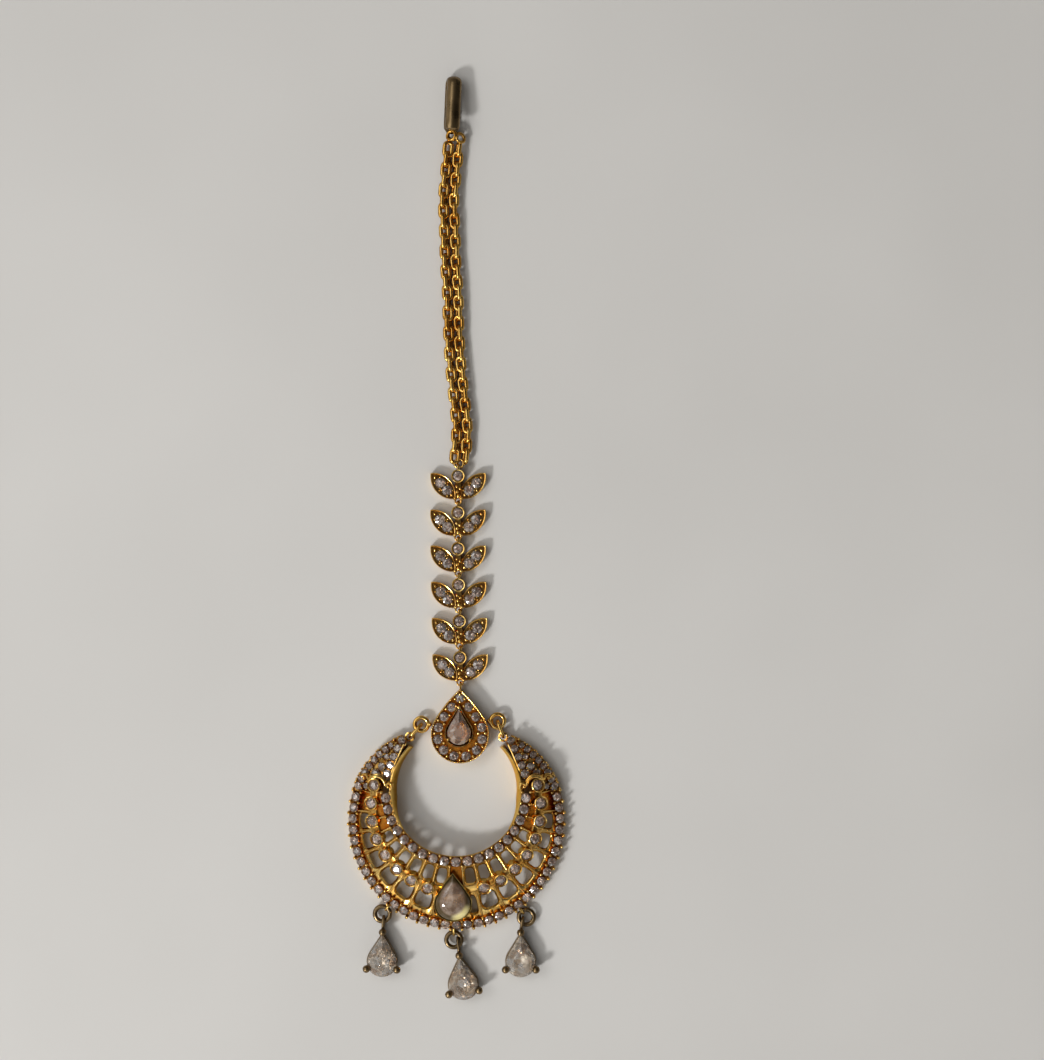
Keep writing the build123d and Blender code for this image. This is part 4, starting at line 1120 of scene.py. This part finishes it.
def make_arm(side, name):
    """A paved arm end: a slope of stones in rows that follow the opening."""
    gold, stones = Shape(), Shape()
    outer, inner = arm_edges(side)

    def raised(point, lift):
        return at_height(point, arm_height(point, outer, inner) + lift)

    rings = []
    for a, b in zip(outer, inner):
        top = [raised(a.lerp(b, t), -0.36) for t in (0.04, 0.2, 0.4, 0.6, 0.8, 0.97)]
        rings.append([at_height(a, 0), at_height(a, 1.5), *top, at_height(b, 0)])
    gold.loft(rings)
    normal = tilt((side * 0.9, -0.3), 24)
    for seat, radius in pave_seats(side, outer, inner):
        spot = raised(seat, 0.22)
        stones.brilliant(spot, radius, normal, 0.16, 0.42)
        for turn in FOUR_CLAWS:
            foot = seat + turned((radius + 0.05, 0), turn + side * 20)
            gold.claw((*foot, spot.z - 0.6), 0.76, 0.15, normal)
    gold.tube([raised(p, 0.12) for p in inset_line(inner, 0.30, -side)[:-1]], 0.17, sides=8)
    for spot in even_run(outer, 1.62)[1:]:
        gold.claw((*spot, 1.0), 1.15, 0.25)
    add_collar(gold, side)
    eye = Vector((side * 7.70, OUTER.y + 13.90, SIDE_LOOP_HEIGHT))
    gold.lathe(eye, [(0.48, -0.2), (0.62, -0.26), (0.84, -0.18), (0.84, 0.18), (0.62, 0.26), (0.48, 0.2)], 24)
    make_gold(gold, f"crescent_arm_{name}")
    make_small_stones(stones, f"crescent_arm_{name}_stones")


def within(point, outer, inner):
    """Whether a point lies between an arm's outer and inner edge."""
    loop = outer + inner[::-1]
    crossings = 0
    for a, b in zip(loop, loop[1:] + loop[:1]):
        if (a.y > point.y) != (b.y > point.y):
            crossings += point.x < a.x + (point.y - a.y) / (b.y - a.y) * (b.x - a.x)
    return crossings % 2 == 1


def pave_seats(side, outer, inner):
    """An arm's stones, as (spot, radius): a row along each edge, then as many as fit between."""
    last = ridge_seats(side)[-1][0].to_2d()
    step = 0.2
    grid = [Vector((side * (8.0 + step * i), OUTER.y + 4.0 + step * j))
            for i in range(50) for j in range(53)]
    chosen = []

    def room(spot, radius):
        """The space left round a stone of a radius; below 0 it does not fit."""
        if not within(spot, outer, inner):
            return -1
        gaps = [(spot - seat).length - taken for seat, taken in chosen]
        gaps.append((spot - last).length - 1.25)
        gaps += [edge_distance(spot, outer) + 0.05, edge_distance(spot, inner) - 0.15]
        return min(gaps) - radius

    for edge, inwards, row in ((inner, -side, INNER_EDGE_ROW), (outer, side, OUTER_EDGE_ROW)):
        distance, pitch, radius = row
        for spot in even_run(inset_line(edge, distance, inwards), pitch):
            if room(spot, radius) >= -0.03:
                chosen.append((spot, radius))
    for radius in PAVE_RADII:
        while True:
            spaces = [(room(spot, radius), i) for i, spot in enumerate(grid)]
            open_spots = [space for space in spaces if space[0] >= 0]
            if not open_spots:
                break
            chosen.append((grid[min(open_spots)[1]], radius))
    return chosen


def inset_line(line, distance, side):
    """An arm's edge moved inwards."""
    moved = []
    for before, point, after in zip([line[0], *line], line, [*line[1:], line[-1]]):
        run = (after - before).normalized()
        moved.append(point + Vector((-run.y, run.x)) * distance * side)
    return moved


def even_run(line, pitch):
    """Points every pitch along an open line."""
    return [point for point, _ in along_line(line, pitch, 0.0)]


# A collar's bends about the arm's last bezel, as (outwards, towards the point, height).
SCALLOPS = ((2.95, 0.30, 2.2), (2.55, 0.95, 2.5), (2.00, 1.02, 2.9), (1.48, 0.55, 3.5), (1.15, 0.95, 4.1),
            (0.62, 1.36, 4.5), (0.0, 1.50, 4.6), (-0.62, 1.36, 4.6), (-1.15, 0.95, 4.55), (-1.48, 0.50, 4.5),
            (-1.95, 0.95, 4.5), (-2.35, 0.85, 4.5), (-2.60, 0.20, 4.45))


def add_collar(gold, side):
    """The scalloped double wire round an arm's last bezel, from the outer row to the inner one."""
    last = ridge_seats(side)[-1][0].to_2d()
    outwards = (last - RIDGE).normalized()
    onwards = Vector((-outwards.y, outwards.x)) * side

    def spot(out, on, z):
        return at_height(last + outwards * out + onwards * on, z)

    path = [spot(*bend) for bend in SCALLOPS]
    gold.tube(smooth_line(path, 4), 0.25)
    low_path = [p - UP * 0.55 + onwards.to_3d() * 0.22 for p in path]
    gold.tube(smooth_line(low_path, 4), 0.24, sides=8)
    for bend in ((2.28, 0.45, 2.5), (-1.92, 0.35, 4.25)):
        gold.bead(spot(*bend), 0.36, 12, 8)


CUP_WALL = [(0.30, -2.9), (0.10, -1.6), (0.02, -0.25), (0.02, -0.06), (0.07, 0.0), (0.14, 0.0), (0.20, -0.06),
            (0.26, -0.35), (0.44, -1.2), (0.9, -2.3)]  # (inset, height)
DOME = ((0.55, -2.25), (0.80, -1.7), (0.94, -1.0), (0.985, -0.45), (0.985, -0.15), (0.95, 0.16), (0.86, 0.45),
        (0.72, 0.72), (0.55, 0.91), (0.36, 1.03), (0.16, 1.08), (0.04, 1.09))  # (share, height)


def make_cabochon():
    """The leaning cup at the crescent's foot and the smooth pear dome in it."""
    lean = UP.rotation_difference(tilt((0, -1), CABOCHON_TILT))
    rim = Vector((-0.50, OUTER.y - 13.25, 4.05))  # the middle of the cup's rim
    gold, stone, cup_shape, dome = Shape(), Shape(), Shape(), Shape()
    wide_tip = CABOCHON_TIP + 0.45
    cup = pear(*around(CABOCHON_WIDTH, wide_tip, 0.40), 18, 40)
    cup_shape.stack(cup, CUP_WALL)
    gold.join(cup_shape, rim, lean)
    make(gold, "crescent_cup", CUP_GOLD)
    girdle = pear(CABOCHON_WIDTH + 0.40, wide_tip + 0.25, 18, 40)

    def level(share, z):
        """The girdle drawn in to a share, and rounder the smaller it is, so that no crease is left."""
        rounder = min(1.0, 2.2 * (1 - share))
        return shifted([p.lerp(p.normalized() * CABOCHON_WIDTH / 2, rounder) * share for p in girdle], z)

    dome.loft([level(share, z) for share, z in DOME])
    stone.join(dome, rim, lean)
    make(stone, "cabochon", CABOCHON, ["cabochon_stone"], sharp=60.0)


# ---- drops ----------------------------------------------------------------------------------
DROP_WALL = [(0.10, 0.0), (0.0, 0.3), (0.0, 1.35), (0.08, 1.55), (0.24, 1.58), (0.40, 1.35), (0.62, 0.6),
             (0.66, 0.0)]  # (inset, height)
BAIL_HEIGHT, BAIL_WIRE, BAIL_WIDTH = 0.98, 0.56, 1.95


def make_drop(number):
    """A jump ring, a dark setting with three claws and a bail, and a milky pear stone."""
    ring_node, setting_node, stone_node = (f"drop_{part}_{number}" for part in ("ring", "setting", "stone"))
    ring_at = box_centre(ring_node)
    lean = DROP_LEANS[number - 1]
    at = pear_seat(stone_node, DROP_WIDTH)
    setting, stone, hoop = Shape(), Shape(), Shape()
    rail = placed(pear(DROP_WIDTH * 1.03, DROP_TIP * 1.03), at, lean)
    setting.stack(rail, DROP_WALL, closed=True)
    for angle, edge in ((180, DROP_TIP), (66, DROP_WIDTH / 2), (-66, DROP_WIDTH / 2)):
        outward = heading(angle + lean)
        foot = Vector(at) + outward * (edge - 0.15)
        head = Vector(at) + outward * (edge + 0.30)
        path = [at_height(foot, 0.5), at_height(head, 1.1), at_height(head, 1.9),
                at_height(head - outward * 0.08, 2.45)]
        setting.tube(path, 0.36)
        setting.bead((*(head - outward * 0.06), 2.50), 0.64, 16, 10)
    start = Vector((ring_at.x, ring_at.y)) + Vector(BAIL_STARTS[number - 1])
    end = polar(at, -(DROP_TIP + 0.20), lean)
    direction = (end - start).normalized()
    square = (direction.y, -direction.x, 0)
    setting.stadium((*start, BAIL_HEIGHT), (*end, BAIL_HEIGHT), BAIL_WIRE, BAIL_WIDTH, square)
    setting.bead((*(end + direction * 0.2), 1.15), 0.62, 14, 8)
    hoop.ring(ring_at, 1.24, 0.76, segments=40, sides=14)
    add_pear_stone(stone, (*at, 2.05), DROP_WIDTH * 0.98, DROP_TIP * 0.98, lean, 0.44, 0.62, facets=8)
    name = f"drop_{number}"
    make(hoop, name + "_ring", BRASS, [ring_node])
    make(setting, name + "_setting", BRASS, [setting_node])
    make(stone, name + "_stone", MILKY, [stone_node], None, MILKY_FOIL)


# ---- the CAD pieces that stay ---------------------------------------------------------------
def dress_kept_pieces():
    """The chain's end ring and the side links keep their CAD shape and take a gold material."""
    kept = {"chain_end_ring": CHAIN_GOLD, "side_link_left": GOLD, "side_link_right": GOLD}
    for node, material in kept.items():
        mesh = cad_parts[node].data
        mesh.materials.clear()
        mesh.materials.append(material)


# ---- stage ----------------------------------------------------------------------------------
LIGHT_TARGET = Vector((0, -0.02, 0))
LIGHTS = [  # name, azimuth and elevation in degrees, side in metres, power in watts
    ("key", 225, 40, 0.14, 5.6),
    ("panel_near", 240, 64, 0.40, 0.7),
    ("panel_left", 168, 52, 0.50, 1.9),
    ("panel_right", 310, 48, 0.30, 0.2),
    ("panel_back", 132, 52, 0.30, 0.8),
]
SKY_PATCH = 0.3125  # the size of a light or dark patch, where the sky's radius is 1


def make_floor():
    """A plain square floor at height 0."""
    half = 2.0
    corners = [(-half, -half, 0), (half, -half, 0), (half, half, 0), (-half, half, 0)]
    mesh = bpy.data.meshes.new("floor")
    mesh.from_pydata(corners, [], [(0, 1, 2, 3)])
    mesh.materials.append(floor_finish())
    floor = bpy.data.objects.new("floor", mesh)
    bpy.context.scene.collection.objects.link(floor)


def add_area_light(name, azimuth, elevation, size, power):
    """A square light a metre from the jewel; its azimuth goes anticlockwise from +X."""
    a, e = math.radians(azimuth), math.radians(elevation)
    offset = Vector((math.cos(a) * math.cos(e), math.sin(a) * math.cos(e), math.sin(e)))
    data = bpy.data.lights.new(name, "AREA")
    data.size = size
    data.energy = power
    light = bpy.data.objects.new(name, data)
    bpy.context.scene.collection.objects.link(light)
    light.location = LIGHT_TARGET + offset
    light.rotation_euler = offset.to_track_quat("Z", "Y").to_euler()


def make_world():
    """Soft surroundings in light and dark patches: dim overhead, brighter on the key light's side."""
    world = bpy.data.worlds.new("studio")
    bpy.context.scene.world = world
    world.use_nodes = True
    sky = Nodes(world.node_tree, "Generated", 1.0)

    def warm_grey(stops):
        return [(position, (value, value * 0.985, value * 0.96)) for position, value in stops]

    upwards = sky.node("ShaderNodeSeparateXYZ", {"Vector": sky.place}).outputs["Z"]
    overhead = sky.ramp(upwards, warm_grey([(0.0, 1.0), (0.62, 1.0), (0.90, 0.42), (0.98, 0.25)]))
    key_side = (-0.35, -0.35, 0.0)
    aside = sky.node("ShaderNodeVectorMath", {0: sky.place, 1: key_side}, operation="DOT_PRODUCT")
    lifted = sky.calc("ADD", aside.outputs["Value"], 0.5)
    sides = sky.ramp(lifted, warm_grey([(0.0, 0.12), (0.45, 0.22), (0.80, 0.62), (1.0, 0.95)]))
    background = sky.tree.nodes["Background"].inputs
    sky.feed(background["Color"], sky.mix(1.0, overhead, sides, "MULTIPLY"))
    sky.feed(background["Strength"], sky.remap(sky.noise(SKY_PATCH, 1.0), 0.44, 0.66, 0.22, 2.4))


def make_camera():
    """Straight above, a little to the jewel's right, as a hand-held camera would be."""
    data = bpy.data.cameras.new("camera")
    data.sensor_fit = "VERTICAL"
    data.sensor_height = 24.0
    data.lens = 50.0
    camera = bpy.data.objects.new("camera", data)
    bpy.context.scene.collection.objects.link(camera)
    height_seen = 0.1749  # of the plane a millimetre above the floor, from the picture's top to its foot
    camera.location = (0.0108, 0.0013, MM + height_seen * data.lens / data.sensor_height)
    bpy.context.scene.camera = camera


make_hair_hook()
make_hook_ring()
make_chain()
make_leaf_links()
make_halo()
make_rails()
make_galleries()
make_rows()
make_ridge_bezels()
make_arm(-1, "left")
make_arm(1, "right")
make_cabochon()
for drop_number in (1, 2, 3):
    make_drop(drop_number)
dress_kept_pieces()
make_floor()
make_world()
for light_settings in LIGHTS:
    add_area_light(*light_settings)
make_camera()
bpy.context.scene.view_settings.view_transform = "Standard"
